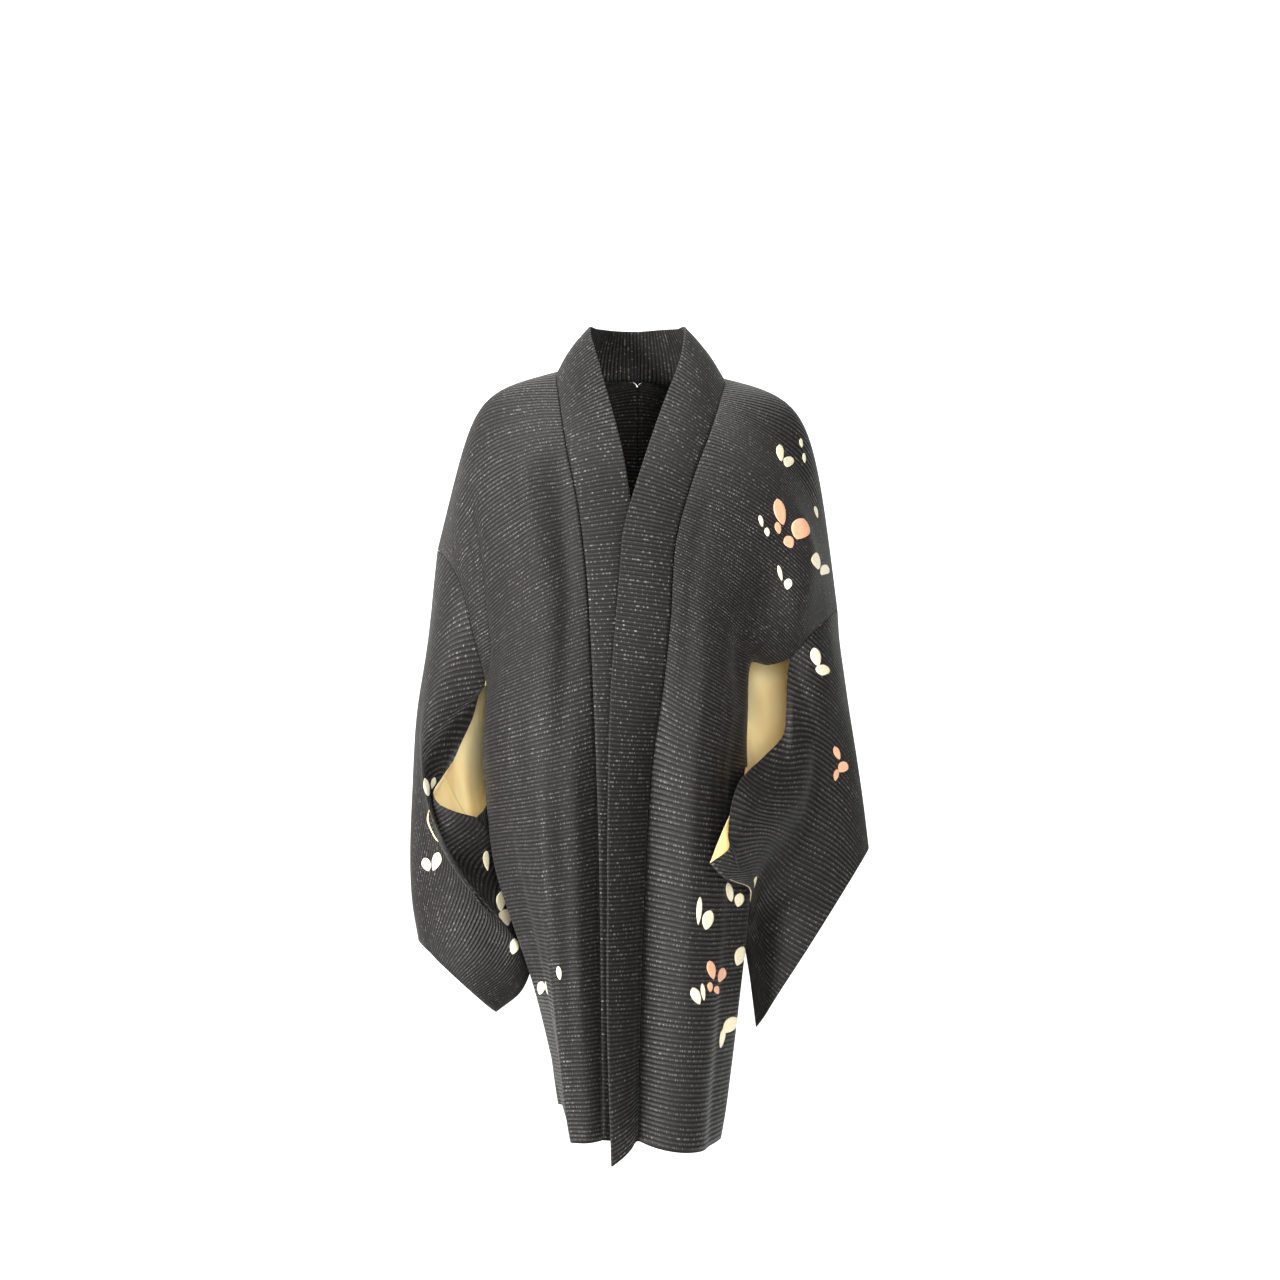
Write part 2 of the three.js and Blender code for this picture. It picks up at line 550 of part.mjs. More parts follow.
// The collar: one band from the right hem round the neck to the left hem, sewn along the inner
// edges of both lengths.
function collar(right, left) {
  const across = spread(0, 1, COLLAR_GRID.across);
  const points = [];
  const normals = [];
  const lift = (COLLAR - CLOTH) / 2;
  const run = (body, stations) => {
    for (const t of stations) {
      const seam = body.surface(0, t).addScaledVector(body.acrossSeam(t), 2 * SEAM);
      const edge = body.free(t);
      const seamNormal = body.normal(0, t);
      const flat = body.bandNormal(t);
      const row = across.map((c) => mix(seamNormal, flat, smooth(c * 3)).normalize());
      normals.push(row);
      points.push(
        across.map((c, j) =>
          mix(seam, edge, c).addScaledVector(row[j], lift + COLLAR_CROWN * Math.sin(Math.PI * c)),
        ),
      );
    }
  };
  const stations = bodyStations().filter((t) => t <= NECK_T + 1e-6);
  run(right, stations);
  run(left, stations.slice(0, -1).reverse());
  return wall(points, normals, COLLAR);
}

const garment = new THREE.Group();
garment.name = "haori";

function add(name, geometry, finish) {
  const mesh = new THREE.Mesh(geometry, new THREE.MeshStandardMaterial(finish));
  mesh.name = name;
  garment.add(mesh);
}

const sides = { right: bodySide(-1), left: bodySide(1) };
for (const [name, body] of Object.entries(sides)) {
  const surface = sleeveSurface(body);
  add(`body_${name}`, bodyPanel(body), CLOTH_FINISH);
  add(`gusset_${name}`, gusset(body), CLOTH_FINISH);
  add(`sleeve_${name}`, sleeve(body, surface), CLOTH_FINISH);
  add(`sleeve_lining_${name}`, sleeveLining(body, surface), LINING_FINISH);
}
add("collar", collar(sides.right, sides.left), CLOTH_FINISH);

export default garment;
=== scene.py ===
import math

import bpy
import numpy as np
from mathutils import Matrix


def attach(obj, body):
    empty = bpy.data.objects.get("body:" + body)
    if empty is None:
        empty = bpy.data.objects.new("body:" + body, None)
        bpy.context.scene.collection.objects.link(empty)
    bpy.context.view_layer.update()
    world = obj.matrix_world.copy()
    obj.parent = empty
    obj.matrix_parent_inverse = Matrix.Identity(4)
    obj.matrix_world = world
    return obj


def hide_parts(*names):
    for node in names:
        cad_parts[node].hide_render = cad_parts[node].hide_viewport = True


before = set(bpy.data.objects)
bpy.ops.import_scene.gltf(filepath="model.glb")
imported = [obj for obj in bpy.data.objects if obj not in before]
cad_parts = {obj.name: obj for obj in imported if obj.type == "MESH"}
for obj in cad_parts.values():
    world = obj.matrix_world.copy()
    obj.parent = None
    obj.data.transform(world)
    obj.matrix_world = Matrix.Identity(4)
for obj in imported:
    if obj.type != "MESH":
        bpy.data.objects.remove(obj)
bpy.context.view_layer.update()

# A short open jacket of ribbed silk. Every piece is a grid of points worked out in
# millimetres, x to the wearer's left, y to the back and z up, then made a closed wall.
mm = 0.001


# A smooth curve through points at given stations: cubic pieces, and the slope at
# each station is that of the chord between its two neighbours.
def throughPoints(stations, points, at):
    stations = np.asarray(stations, float)
    points = np.asarray(points, float).reshape(len(stations), -1)
    at = np.asarray(at, float)
    last = len(stations) - 1
    each = np.arange(last + 1)
    before = np.maximum(each - 1, 0)
    after = np.minimum(each + 1, last)
    slopes = (points[after] - points[before]) / (stations[after] - stations[before])[:, None]
    k = np.clip(np.searchsorted(stations, at, side="left") - 1, 0, last - 1)
    span = (stations[k + 1] - stations[k])[..., None]
    s = ((at - stations[k]) / span[..., 0])[..., None]
    return (
        (2 * s**3 - 3 * s**2 + 1) * points[k]
        + (s**3 - 2 * s**2 + s) * span * slopes[k]
        + (3 * s**2 - 2 * s**3) * points[k + 1]
        + (s**3 - s**2) * span * slopes[k + 1]
    )


# 0 below low, 1 above high, and an S curve in between.
def easeBetween(x, low, high):
    s = np.clip((x - low) / (high - low), 0, 1)
    return s * s * (3 - 2 * s)


# A vector over its length.
def unit(v):
    return v / np.maximum(np.linalg.norm(v, axis=-1, keepdims=True), 1e-9)


# Cross product of the two parameter slopes, taken by small steps inside the given box.
def surfaceNormal(surface, p, q, sign, box, step=0.004):
    p0, p1, q0, q1 = box
    alongP = surface(np.minimum(p + step, p1), q) - surface(np.maximum(p - step, p0), q)
    alongQ = surface(p, np.minimum(q + step, q1)) - surface(p, np.maximum(q - step, q0))
    return unit(np.cross(alongP, alongQ)) * sign


# t runs from -1 at the front hem over the shoulder to 1 at the back hem, c from the
# collar or centre back to the side. Each row is a weft line: its inner end, the two
# points it bows towards, and its outer end.
rightLength = {
    "side": -1,
    "rows": [
        (-1.0, (-35, -112, -781), (-72, -152, -784), (-76, -62, -781), (-64, -8, -777)),
        (-0.8, (-37, -107, -640), (-86, -154, -641), (-110, -58, -640), (-98, -3, -640)),
        (-0.6, (-39, -105, -500), (-92, -152, -501), (-156, -70, -500), (-146, 0, -500)),
        (-0.47, (-42, -106, -400), (-96, -144, -404), (-172, -74, -404), (-160, -4, -402)),
        (-0.39, (-46, -112, -300), (-94, -138, -318), (-170, -88, -346), (-155, -21, -352)),
        (-0.31, (-51, -114, -215), (-94, -132, -245), (-160, -96, -298), (-156, -45, -324)),
        (-0.22, (-60, -108, -142), (-104, -118, -172), (-156, -90, -236), (-168, -59, -272)),
        (-0.13, (-72, -82, -84), (-116, -92, -106), (-166, -80, -156), (-181, -54, -222)),
        (-0.055, (-81, -40, -30), (-130, -50, -46), (-180, -46, -80), (-196, -34, -195)),
        (0.0, (-84, 5, 4), (-176, 4, -20), (-170, 4, -20), (-210, 5, -183)),
        (0.055, (-62, 46, 2), (-136, 52, -12), (-182, 52, -52), (-207, 38, -189)),
        (0.11, (-30, 68, 0), (-112, 84, -18), (-182, 78, -84), (-199, 60, -210)),
        (0.16, (-0.4, 76, -4), (-96, 104, -26), (-178, 100, -120), (-190, 70, -238)),
        (0.24, (-0.4, 90, -74), (-90, 118, -92), (-166, 112, -196), (-178, 70, -280)),
        (0.31, (-0.4, 98, -150), (-86, 124, -168), (-154, 114, -262), (-163, 45, -318)),
        (0.39, (-0.4, 101, -244), (-82, 126, -262), (-166, 100, -332), (-160, 16, -352)),
        (0.47, (-0.4, 101, -350), (-80, 126, -366), (-168, 94, -398), (-162, 16, -402)),
        (0.6, (-0.4, 98, -486), (-76, 124, -490), (-158, 94, -498), (-146, 26, -500)),
        (0.8, (-0.4, 92, -634), (-66, 118, -636), (-117, 94, -639), (-100, 34, -640)),
        (1.0, (-0.4, 88, -778), (-56, 114, -779), (-94, 92, -778), (-76, 46, -777)),
    ],
    # ridges above 0 and troughs below: from t0 to t1, across from c0 to c1, half width, depth
    "folds": [
        (-1.1, -0.42, 0.36, 0.3, 0.07, 7),
        (-1.1, -0.45, 0.66, 0.6, 0.1, -7),
        (-1.1, -0.5, 0.88, 0.84, 0.07, 6),
        (-0.5, -0.1, 0.16, 0.1, 0.09, -7),
        (-0.34, -0.04, 0.9, 0.76, 0.08, -9),
        (-0.3, -0.08, 0.34, 0.3, 0.1, 4),
    ],
    "fineFolds": [
        (-0.9, -0.3, 0.16, 0.12, 0.05, 2.2),
        (-0.45, -0.16, 0.62, 0.5, 0.06, 2.0),
        (-0.7, -0.36, 0.5, 0.46, 0.05, -2.0),
    ],
    "freeEdge": [
        (-1.0, (4, -82, -788)), (-0.8, (12, -82, -641)), (-0.6, (12, -84, -500)),
        (-0.47, (10, -92, -400)), (-0.39, (6, -104, -298)), (-0.31, (2, -110, -211)),
        (-0.22, (-8, -106, -134)), (-0.13, (-19, -84, -72)), (-0.055, (-40, -34, 6)),
        (0.0, (-51, 4, 48)), (0.055, (-43, 34, 52)), (0.11, (-24, 53, 52)), (0.16, (0, 60, 52)),
    ],
}
leftLength = {
    "side": 1,
    "rows": [
        (-1.0, (1, -98, -784), (46, -158, -796), (104, -72, -800), (75, -8, -785)),
        (-0.85, (4, -97, -664), (50, -162, -668), (121, -74, -668), (91, -5, -664)),
        (-0.7, (8, -98, -540), (54, -158, -544), (134, -78, -545), (104, -4, -541)),
        (-0.56, (15, -104, -410), (62, -150, -412), (130, -84, -412), (108, -8, -410)),
        (-0.47, (27, -114, -322), (72, -142, -334), (130, -88, -350), (111, -16, -350)),
        (-0.4, (34, -121, -255), (78, -138, -275), (126, -92, -306), (116, -30, -303)),
        (-0.36, (36, -119, -215), (84, -134, -240), (124, -84, -290), (136, -40, -304)),
        (-0.31, (40, -115, -175), (92, -128, -206), (140, -84, -268), (156.5, -50, -296.5)),
        (-0.22, (56, -98, -117), (104, -114, -148), (176, -88, -214), (178, -52, -273)),
        (-0.13, (76, -62, -62), (124, -80, -92), (188, -74, -160), (195, -38, -258)),
        (-0.055, (87, -32, -27), (136, -46, -48), (188, -42, -104), (205, -18, -249)),
        (0.0, (91, 5, -3), (184, 4, -26), (184, 4, -32), (211, 5, -247)),
        (0.055, (66, 46, -2), (134, 52, -14), (192, 52, -72), (209, 34, -246)),
        (0.11, (32, 68, -3), (114, 84, -20), (192, 78, -108), (204, 56, -252)),
        (0.16, (0.4, 76, -4), (96, 104, -28), (184, 100, -150), (196, 68, -264)),
        (0.24, (0.4, 90, -74), (90, 118, -94), (168, 112, -206), (180, 68, -283)),
        (0.31, (0.4, 98, -150), (86, 124, -168), (146, 112, -258), (160, 46, -296)),
        (0.36, (0.4, 100, -206), (82, 125, -224), (134, 106, -288), (138, 26, -300)),
        (0.4, (0.4, 101, -260), (78, 126, -274), (128, 100, -312), (117, 12, -302)),
        (0.47, (0.4, 101, -345), (76, 126, -352), (126, 98, -362), (111, 10, -358)),
        (0.56, (0.4, 99, -434), (74, 124, -438), (126, 98, -442), (110, 14, -440)),
        (0.7, (0.4, 95, -550), (68, 120, -552), (126, 94, -553), (109, 24, -552)),
        (0.85, (0.4, 91, -664), (62, 116, -666), (111, 92, -668), (94, 36, -667)),
        (1.0, (0.4, 88, -780), (56, 114, -781), (95, 92, -784), (78, 46, -785)),
    ],
    "folds": [
        (-1.1, -0.42, 0.64, 0.6, 0.09, -6),
        (-1.1, -0.5, 0.84, 0.82, 0.07, 6),
        (-0.5, -0.2, 0.66, 0.58, 0.13, -7),
        (-0.3, -0.08, 0.82, 0.66, 0.12, 5),
    ],
    "fineFolds": [
        (-0.9, -0.34, 0.3, 0.26, 0.06, 2.4),
        (-0.5, -0.2, 0.14, 0.12, 0.05, -2.0),
        (-0.8, -0.4, 0.48, 0.5, 0.05, -2.2),
    ],
    "freeEdge": [
        (-1.0, (-24, -124, -804)), (-0.85, (-28, -134, -662)), (-0.7, (-28, -134, -540)),
        (-0.56, (-27, -132, -408)), (-0.47, (-24, -131, -315)), (-0.4, (-19, -130, -248)),
        (-0.36, (-16, -128, -208)), (-0.31, (-12, -124, -166)), (-0.22, (8, -102, -96)),
        (-0.13, (28, -66, -36)), (-0.055, (46, -28, 14)), (0.0, (51, 4, 49)),
        (0.055, (43, 34, 52)), (0.11, (24, 52, 53)), (0.16, (0, 60, 52)),
    ],
}
lengthCut = {
    "neckT": 0.16,  # where the collar seam reaches the centre back
    "armholeT": 0.31,
    "sideT": 0.47,  # where the side wedges begin
    "backLap": 0.15,  # of each half past the centre back
    "mitreWide": 1 / 24,  # share of the width over which the seam's slant fades
    "thick": 1.6,
    "seamGap": 0.35,
    "across": 64,
    "along": 320,
    "backWaves": {"count": 2.5, "depth": 9, "start": 0.3},
    # distance of each weft line from its hem along the cloth: t, at the collar, at the side
    "threadRows": [
        (-1.0, 0, 0), (-0.8, 142, 150), (-0.6, 283, 306), (-0.47, 383, 418), (-0.31, 572, 520),
        (-0.22, 652, 590), (-0.13, 718, 655), (0.0, 835, 760), (0.16, 935, 990),
        (0.31, 1090, 1190), (0.47, 1290, 1330), (0.6, 1428, 1430), (0.8, 1576, 1576),
        (1.0, 1720, 1720),
    ],
    "threadWide": 330,  # cloth width that a weft line covers
    "flat": (0.36, 1.64),  # metres, before sewing
    "area": 0.3,  # square metres of that which show
}


# Sum over the folds of depth times a bell across the fold times a fade, which takes a
# quarter of the fold's length at each end.
def foldRise(folds, c, t):
    rise = np.zeros(np.shape(c))
    for t0, t1, c0, c1, wide, depth in folds:
        s = (t - t0) / (t1 - t0)
        fade = easeBetween(np.minimum(s, 1 - s) * 4, 0, 1)
        rise = rise + depth * fade * np.exp(-(((c - (c0 + (c1 - c0) * s)) / wide) ** 2))
    return rise


# A weft line is the cubic curve of its four points; the folds lift it along the normal.
def lengthSurface(length):
    stations = [row[0] for row in length["rows"]]
    ends = [[row[k] for row in length["rows"]] for k in (1, 2, 3, 4)]
    side = length["side"]
    waves = lengthCut["backWaves"]

    def plain(c, t):
        p0, p1, p2, p3 = (throughPoints(stations, end, t) for end in ends)
        p0[..., 0] = np.where(t >= lengthCut["neckT"], -side * lengthCut["backLap"], p0[..., 0])
        c = c[..., None]
        r = 1 - c
        return r**3 * p0 + 3 * r**2 * c * p1 + 3 * r * c**2 * p2 + c**3 * p3

    folds = length["folds"] + length["fineFolds"]

    def lifted(c, t):
        c, t = np.broadcast_arrays(np.asarray(c, float), np.asarray(t, float))
        rise = foldRise(folds, c, t)
        swell = easeBetween(t, waves["start"], 1.0 + 1e-9)
        rise += waves["depth"] * swell * np.sin(np.pi * c) * np.cos(2 * np.pi * waves["count"] * c)
        return plain(c, t) + surfaceNormal(plain, c, t, side, (0, 1, -1, 1)) * rise[..., None]

    return lifted


# Everything that the pieces of one side share along their seams. Run follows the collar
# seam, outward leaves the side edge along the cloth, and each normal is a unit cross product.
def sideOf(length):
    side = length["side"]
    surface = lengthSurface(length)
    freeStations = [row[0] for row in length["freeEdge"]]
    freePoints = [row[1] for row in length["freeEdge"]]
    box = (0, 1, -1, 1)

    def free(t):
        return throughPoints(freeStations, freePoints, t)

    def plainNormal(c, t):
        return surfaceNormal(surface, c, t, side, box)

    def outward(t):
        return unit(surface(np.ones_like(t), t) - surface(np.full_like(t, 0.99), t))

    def seamRun(t):
        after = np.minimum(t + 0.01, lengthCut["neckT"])
        before = np.maximum(t - 0.01, -1)
        return unit(surface(np.zeros_like(t), after) - surface(np.zeros_like(t), before))

    def bandNormal(t):
        return unit(np.cross(seamRun(t), free(t) - surface(np.zeros_like(t), t))) * side

    # at the collar seam both walls share a mitred normal, at the centre back one with no x
    def innerNormal(t):
        normal = plainNormal(np.zeros_like(t), t)
        flat = normal * np.array([0, 1, 1])
        short = np.minimum(t, lengthCut["neckT"])
        mitred = normal + bandNormal(short)
        return unit(np.where((t > lengthCut["neckT"])[..., None], flat, mitred))

    def acrossSeam(t):
        return np.cross(innerNormal(t), seamRun(t)) * side

    def normal(c, t):
        c, t = np.broadcast_arrays(np.asarray(c, float), np.asarray(t, float))
        near = np.clip(1 - c / lengthCut["mitreWide"], 0, 1)[..., None]
        return unit(plainNormal(c, t) * (1 - near) + innerNormal(t) * near)

    return {
        "side": side,
        "surface": surface,
        "normal": normal,
        "free": free,
        "outward": outward,
        "bandNormal": bandNormal,
        "innerNormal": innerNormal,
        "acrossSeam": acrossSeam,
    }


# A closed wall from a grid of outer points and outward normals: the outer face, the
# same grid moved in by the thickness, and strips that join their edges. A ring closes
# on itself across. UV is the place on the flat cloth, in metres.
def clothWall(name, points, normals, thick, cloth, material, ring=False):
    rows, columns = points.shape[:2]
    both = np.concatenate([points.reshape(-1, 3), (points - normals * thick).reshape(-1, 3)]) * mm
    spans = columns if ring else columns - 1
    i, j = np.meshgrid(np.arange(rows - 1), np.arange(spans), indexing="ij")
    nextJ = (j + 1) % columns
    a, b = i * columns + j, i * columns + nextJ
    outer = np.stack([a, b, b + columns, a + columns], -1).reshape(-1, 4)
    shift = rows * columns
    inner = outer[:, ::-1] + shift
    j1 = np.arange(spans)
    k1 = (j1 + 1) % columns
    first = np.stack([j1 + shift, k1 + shift, k1, j1], -1)
    base = (rows - 1) * columns
    final = np.stack([base + j1, base + k1, base + k1 + shift, base + j1 + shift], -1)
    faces = [outer, inner, first, final]
    if not ring:
        i1 = np.arange(rows - 1) * columns
        faces.append(np.stack([i1, i1 + columns, i1 + columns + shift, i1 + shift], -1))
        i2 = i1 + columns - 1
        faces.append(np.stack([i2 + shift, i2 + columns + shift, i2 + columns, i2], -1))
    faces = np.concatenate(faces)
    # a face from the middle of the grid says which way round it runs
    tried = outer[len(outer) // 2]
    a, b, _, d = both[tried]
    if np.cross(b - a, d - a) @ normals.reshape(-1, 3)[tried[0]] < 0:
        faces = faces[:, ::-1]
    uv = np.concatenate([cloth.reshape(-1, 2)] * 2) * mm
    return meshFrom(name, both, faces, uv, material)


# A smooth mesh of four-sided faces, whose corners take the UV of their points.
def meshFrom(name, points, faces, uv, material):
    mesh = bpy.data.meshes.new(name)
    mesh.vertices.add(len(points))
    mesh.vertices.foreach_set("co", points.astype(np.float32).ravel())
    mesh.loops.add(faces.size)
    mesh.loops.foreach_set("vertex_index", faces.astype(np.int32).ravel())
    mesh.polygons.add(len(faces))
    starts = np.arange(0, faces.size, faces.shape[1], dtype=np.int32)
    mesh.polygons.foreach_set("loop_start", starts)
    mesh.update(calc_edges=True)
    mesh.polygons.foreach_set("use_smooth", np.ones(len(faces), bool))
    layer = mesh.uv_layers.new(name="cloth")
    values = uv[faces.ravel()]
    layer.data.foreach_set("uv", values.astype(np.float32).ravel())
    thing = bpy.data.objects.new(name, mesh)
    bpy.context.scene.collection.objects.link(thing)
    mesh.materials.append(material)
    mesh.validate()
    return thing


# Hangs a piece under the root and hides the imported part of the node that it stands for.
def pieceOfCloth(thing, node):
    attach(thing, "root")
    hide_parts(node)


# A material, its nodes and links, and its one shader.
def newMaterial(name):
    material = bpy.data.materials.new(name)
    material.use_nodes = True
    nodes = material.node_tree.nodes
    return material, nodes, material.node_tree.links, nodes["Principled BSDF"]


# Gives an input its value, or links a socket to it.
def feed(links, source, socket):
    if isinstance(source, (int, float, tuple)):
        socket.default_value = source
    else:
        links.new(source, socket)


# One sum or function of its inputs.
def mathNode(nodes, links, kind, *inputs):
    node = nodes.new("ShaderNodeMath")
    node.operation = kind
    for k, source in enumerate(inputs):
        feed(links, source, node.inputs[k])
    return node.outputs[0]


# An S curve from toLow at low to toHigh at high.
def rangeNode(nodes, links, value, low, high, toLow=0.0, toHigh=1.0):
    node = nodes.new("ShaderNodeMapRange")
    node.interpolation_type = "SMOOTHSTEP"
    for k, source in enumerate((value, low, high, toLow, toHigh)):
        feed(links, source, node.inputs[k])
    return node.outputs[0]


# The first colour where share is 0, the second where it is 1.
def mixColour(nodes, links, share, first, second):
    node = nodes.new("ShaderNodeMix")
    node.data_type = "RGBA"
    feed(links, share, node.inputs[0])
    feed(links, first, node.inputs[6])
    feed(links, second, node.inputs[7])
    return node.outputs[2]


# Smooth noise around a half, scale bumps to the metre.
def noiseNode(nodes, links, vector, scale, detail=2.0, rough=0.5):
    node = nodes.new("ShaderNodeTexNoise")
    feed(links, vector, node.inputs["Vector"])
    node.inputs["Scale"].default_value = scale
    node.inputs["Detail"].default_value = detail
    node.inputs["Roughness"].default_value = rough
    return node.outputs["Fac"]


# The place on the flat cloth, and its distances across and along, in metres.
def clothPlace(nodes, links):
    uv = nodes.new("ShaderNodeUVMap")
    uv.uv_map = "cloth"
    split = nodes.new("ShaderNodeSeparateXYZ")
    links.new(uv.outputs[0], split.inputs[0])
    return uv.outputs[0], split.outputs[0], split.outputs[1]


# A vector of three values.
def combine(nodes, links, x, y, z):
    node = nodes.new("ShaderNodeCombineXYZ")
    for k, source in enumerate((x, y, z)):
        feed(links, source, node.inputs[k])
    return node.outputs[0]


# Tilts the shader's normal by the slope of a height, distance metres to the unit.
def bumpFrom(nodes, links, shader, height, strength, distance):
    bump = nodes.new("ShaderNodeBump")
    bump.inputs["Strength"].default_value = strength
    bump.inputs["Distance"].default_value = distance
    links.new(height, bump.inputs["Height"])
    links.new(bump.outputs[0], shader.inputs["Normal"])


# Sine of the distance, once round for each thread.
def threadWave(nodes, links, distance, pitch):
    turn = mathNode(nodes, links, "MULTIPLY", distance, 2 * math.pi / pitch)
    return mathNode(nodes, links, "SINE", turn)


ribbedSilk = {
    "pitch": 0.0042,  # metres from rib to rib
    "ground": (0.002, 0.0019, 0.0018, 1),
    "crest": (0.0165, 0.0148, 0.0138, 1),
    "thread": (0.28, 0.26, 0.235, 1),
    "crestRange": (0.45, 0.95),  # heights between which a crest begins
    "dashes": 520.0,  # per metre along a rib
    "dashNoise": (1.5, 0.6),  # detail, roughness
    "dashRange": (0.54, 0.74),
    "ribShift": 3.17,  # how far the dashes' noise moves on from rib to rib
    "raised": 0.2,  # height of the thread on a crest
    "metal": 0.9,
    "patches": (9.0, 0.45),  # per metre, and how much thread the poorest keeps
    "wander": (14.0, 0.0012),  # per metre, and metres that a rib drifts
    "roughness": (0.55, 0.4),  # silk, thread
    "gloss": 0.22,
    "sheen": (0.05, 0.5),
    "weave": (1500.0, 0.18),  # per metre, share of a rib's height
    "bump": 0.8,
    "height": 0.0009,
}


# Ribs are a cosine of the distance along the cloth; metal thread shows on their
# crests in dashes, where a noise that differs from rib to rib is high.
def makeRibbedSilk():
    s = ribbedSilk
    material, nodes, links, shader = newMaterial("ribbed_silk")
    place, across, along = clothPlace(nodes, links)
    drift = noiseNode(nodes, links, place, s["wander"][0], 1.0)
    wander = mathNode(nodes, links, "MULTIPLY", drift, s["wander"][1])
    lengthwise = mathNode(nodes, links, "ADD", along, wander)
    count = mathNode(nodes, links, "DIVIDE", lengthwise, s["pitch"])
    turn = mathNode(nodes, links, "MULTIPLY", count, 2 * math.pi)
    wave = mathNode(nodes, links, "COSINE", turn)
    rib = mathNode(nodes, links, "MULTIPLY_ADD", wave, 0.5, 0.5)
    crest = rangeNode(nodes, links, rib, *s["crestRange"])
    number = mathNode(nodes, links, "ROUND", count)
    dashAt = mathNode(nodes, links, "MULTIPLY", across, s["dashes"])
    dashRow = mathNode(nodes, links, "MULTIPLY", number, s["ribShift"])
    dashPlace = combine(nodes, links, dashAt, dashRow, 0.0)
    dashNoise = noiseNode(nodes, links, dashPlace, 1.0, *s["dashNoise"])
    dash = rangeNode(nodes, links, dashNoise, *s["dashRange"])
    patchNoise = noiseNode(nodes, links, place, s["patches"][0], 2.0)
    patches = rangeNode(nodes, links, patchNoise, 0.3, 0.7, s["patches"][1], 1.0)
    dashes = mathNode(nodes, links, "MULTIPLY", crest, dash)
    metal = mathNode(nodes, links, "MULTIPLY", dashes, patches)
    silk = mixColour(nodes, links, crest, s["ground"], s["crest"])
    colour = mixColour(nodes, links, metal, silk, s["thread"])
    links.new(colour, shader.inputs["Base Color"])
    links.new(mathNode(nodes, links, "MULTIPLY", metal, s["metal"]), shader.inputs["Metallic"])
    rough = rangeNode(nodes, links, metal, 0.0, 1.0, *s["roughness"])
    links.new(rough, shader.inputs["Roughness"])
    weave = noiseNode(nodes, links, place, s["weave"][0])
    woven = mathNode(nodes, links, "MULTIPLY_ADD", weave, s["weave"][1], rib)
    raised = mathNode(nodes, links, "MULTIPLY", crest, s["raised"])
    height = mathNode(nodes, links, "MULTIPLY_ADD", dash, raised, woven)
    bumpFrom(nodes, links, shader, height, s["bump"], s["height"])
    shader.inputs["Specular IOR Level"].default_value = s["gloss"]
    shader.inputs["Sheen Weight"].default_value = s["sheen"][0]
    shader.inputs["Sheen Roughness"].default_value = s["sheen"][1]
    return material


liningSilk = {
    "light": (1.0, 0.84, 0.44, 1),
    "deep": (1.0, 0.72, 0.3, 1),
    "tone": 18.0,  # changes to the metre
    "roughness": 0.5,
    "sheen": 0.25,
    "thread": 0.0006,  # metres from thread to thread
    "creases": (30.0, 8.0),  # per metre, height against the threads
    "bump": 0.35,
    "height": 0.0004,
}


# Plain silk: fine crossing threads as bump, and soft changes of tone.
def makeLiningSilk():
    s = liningSilk
    material, nodes, links, shader = newMaterial("lining_silk")
    place, across, along = clothPlace(nodes, links)
    tone = rangeNode(nodes, links, noiseNode(nodes, links, place, s["tone"], 3.0), 0.3, 0.7)
    links.new(mixColour(nodes, links, tone, s["deep"], s["light"]), shader.inputs["Base Color"])
    shader.inputs["Roughness"].default_value = s["roughness"]
    shader.inputs["Sheen Weight"].default_value = s["sheen"]
    warp = threadWave(nodes, links, across, s["thread"])
    weft = threadWave(nodes, links, along, s["thread"])
    weave = mathNode(nodes, links, "MULTIPLY", warp, weft)
    creases = noiseNode(nodes, links, place, s["creases"][0], 3.0)
    height = mathNode(nodes, links, "MULTIPLY_ADD", creases, s["creases"][1], weave)
    bumpFrom(nodes, links, shader, height, s["bump"], s["height"])
    return material


brocade = {
    "floats": (400.0, 1600.0),  # per metre across and along
    "thread": 0.0008,
    "threadHeight": 0.4,
    "roughness": 0.55,
    "sheen": 0.3,
    "bump": 0.5,
    "height": 0.0003,
    "cream": ((0.88, 0.8, 0.58, 1), (0.7, 0.6, 0.38, 1)),
    "salmon": ((0.86, 0.42, 0.25, 1), (0.7, 0.3, 0.16, 1)),
}


# Brocade of the motifs: a noise drawn out across the cloth gives the short weft floats
# their tone, and a sine along it the threads.
def makeBrocade(name, light, deep):
    b = brocade
    material, nodes, links, shader = newMaterial(name)
    place, across, along = clothPlace(nodes, links)
    floatAcross = mathNode(nodes, links, "MULTIPLY", across, b["floats"][0])
    floatAlong = mathNode(nodes, links, "MULTIPLY", along, b["floats"][1])
    floats = noiseNode(nodes, links, combine(nodes, links, floatAcross, floatAlong, 0.0), 1.0, 2.0)
    tone = rangeNode(nodes, links, floats, 0.3, 0.7)
    links.new(mixColour(nodes, links, tone, deep, light), shader.inputs["Base Color"])
    shader.inputs["Roughness"].default_value = b["roughness"]
    shader.inputs["Sheen Weight"].default_value = b["sheen"]
    threads = threadWave(nodes, links, along, b["thread"])
    height = mathNode(nodes, links, "MULTIPLY_ADD", threads, b["threadHeight"], floats)
    bumpFrom(nodes, links, shader, height, b["bump"], b["height"])
    return material


silk = makeRibbedSilk()
lining = makeLiningSilk()
cream = makeBrocade("cream_brocade", *brocade["cream"])
salmon = makeBrocade("salmon_brocade", *brocade["salmon"])
print("finishes made")


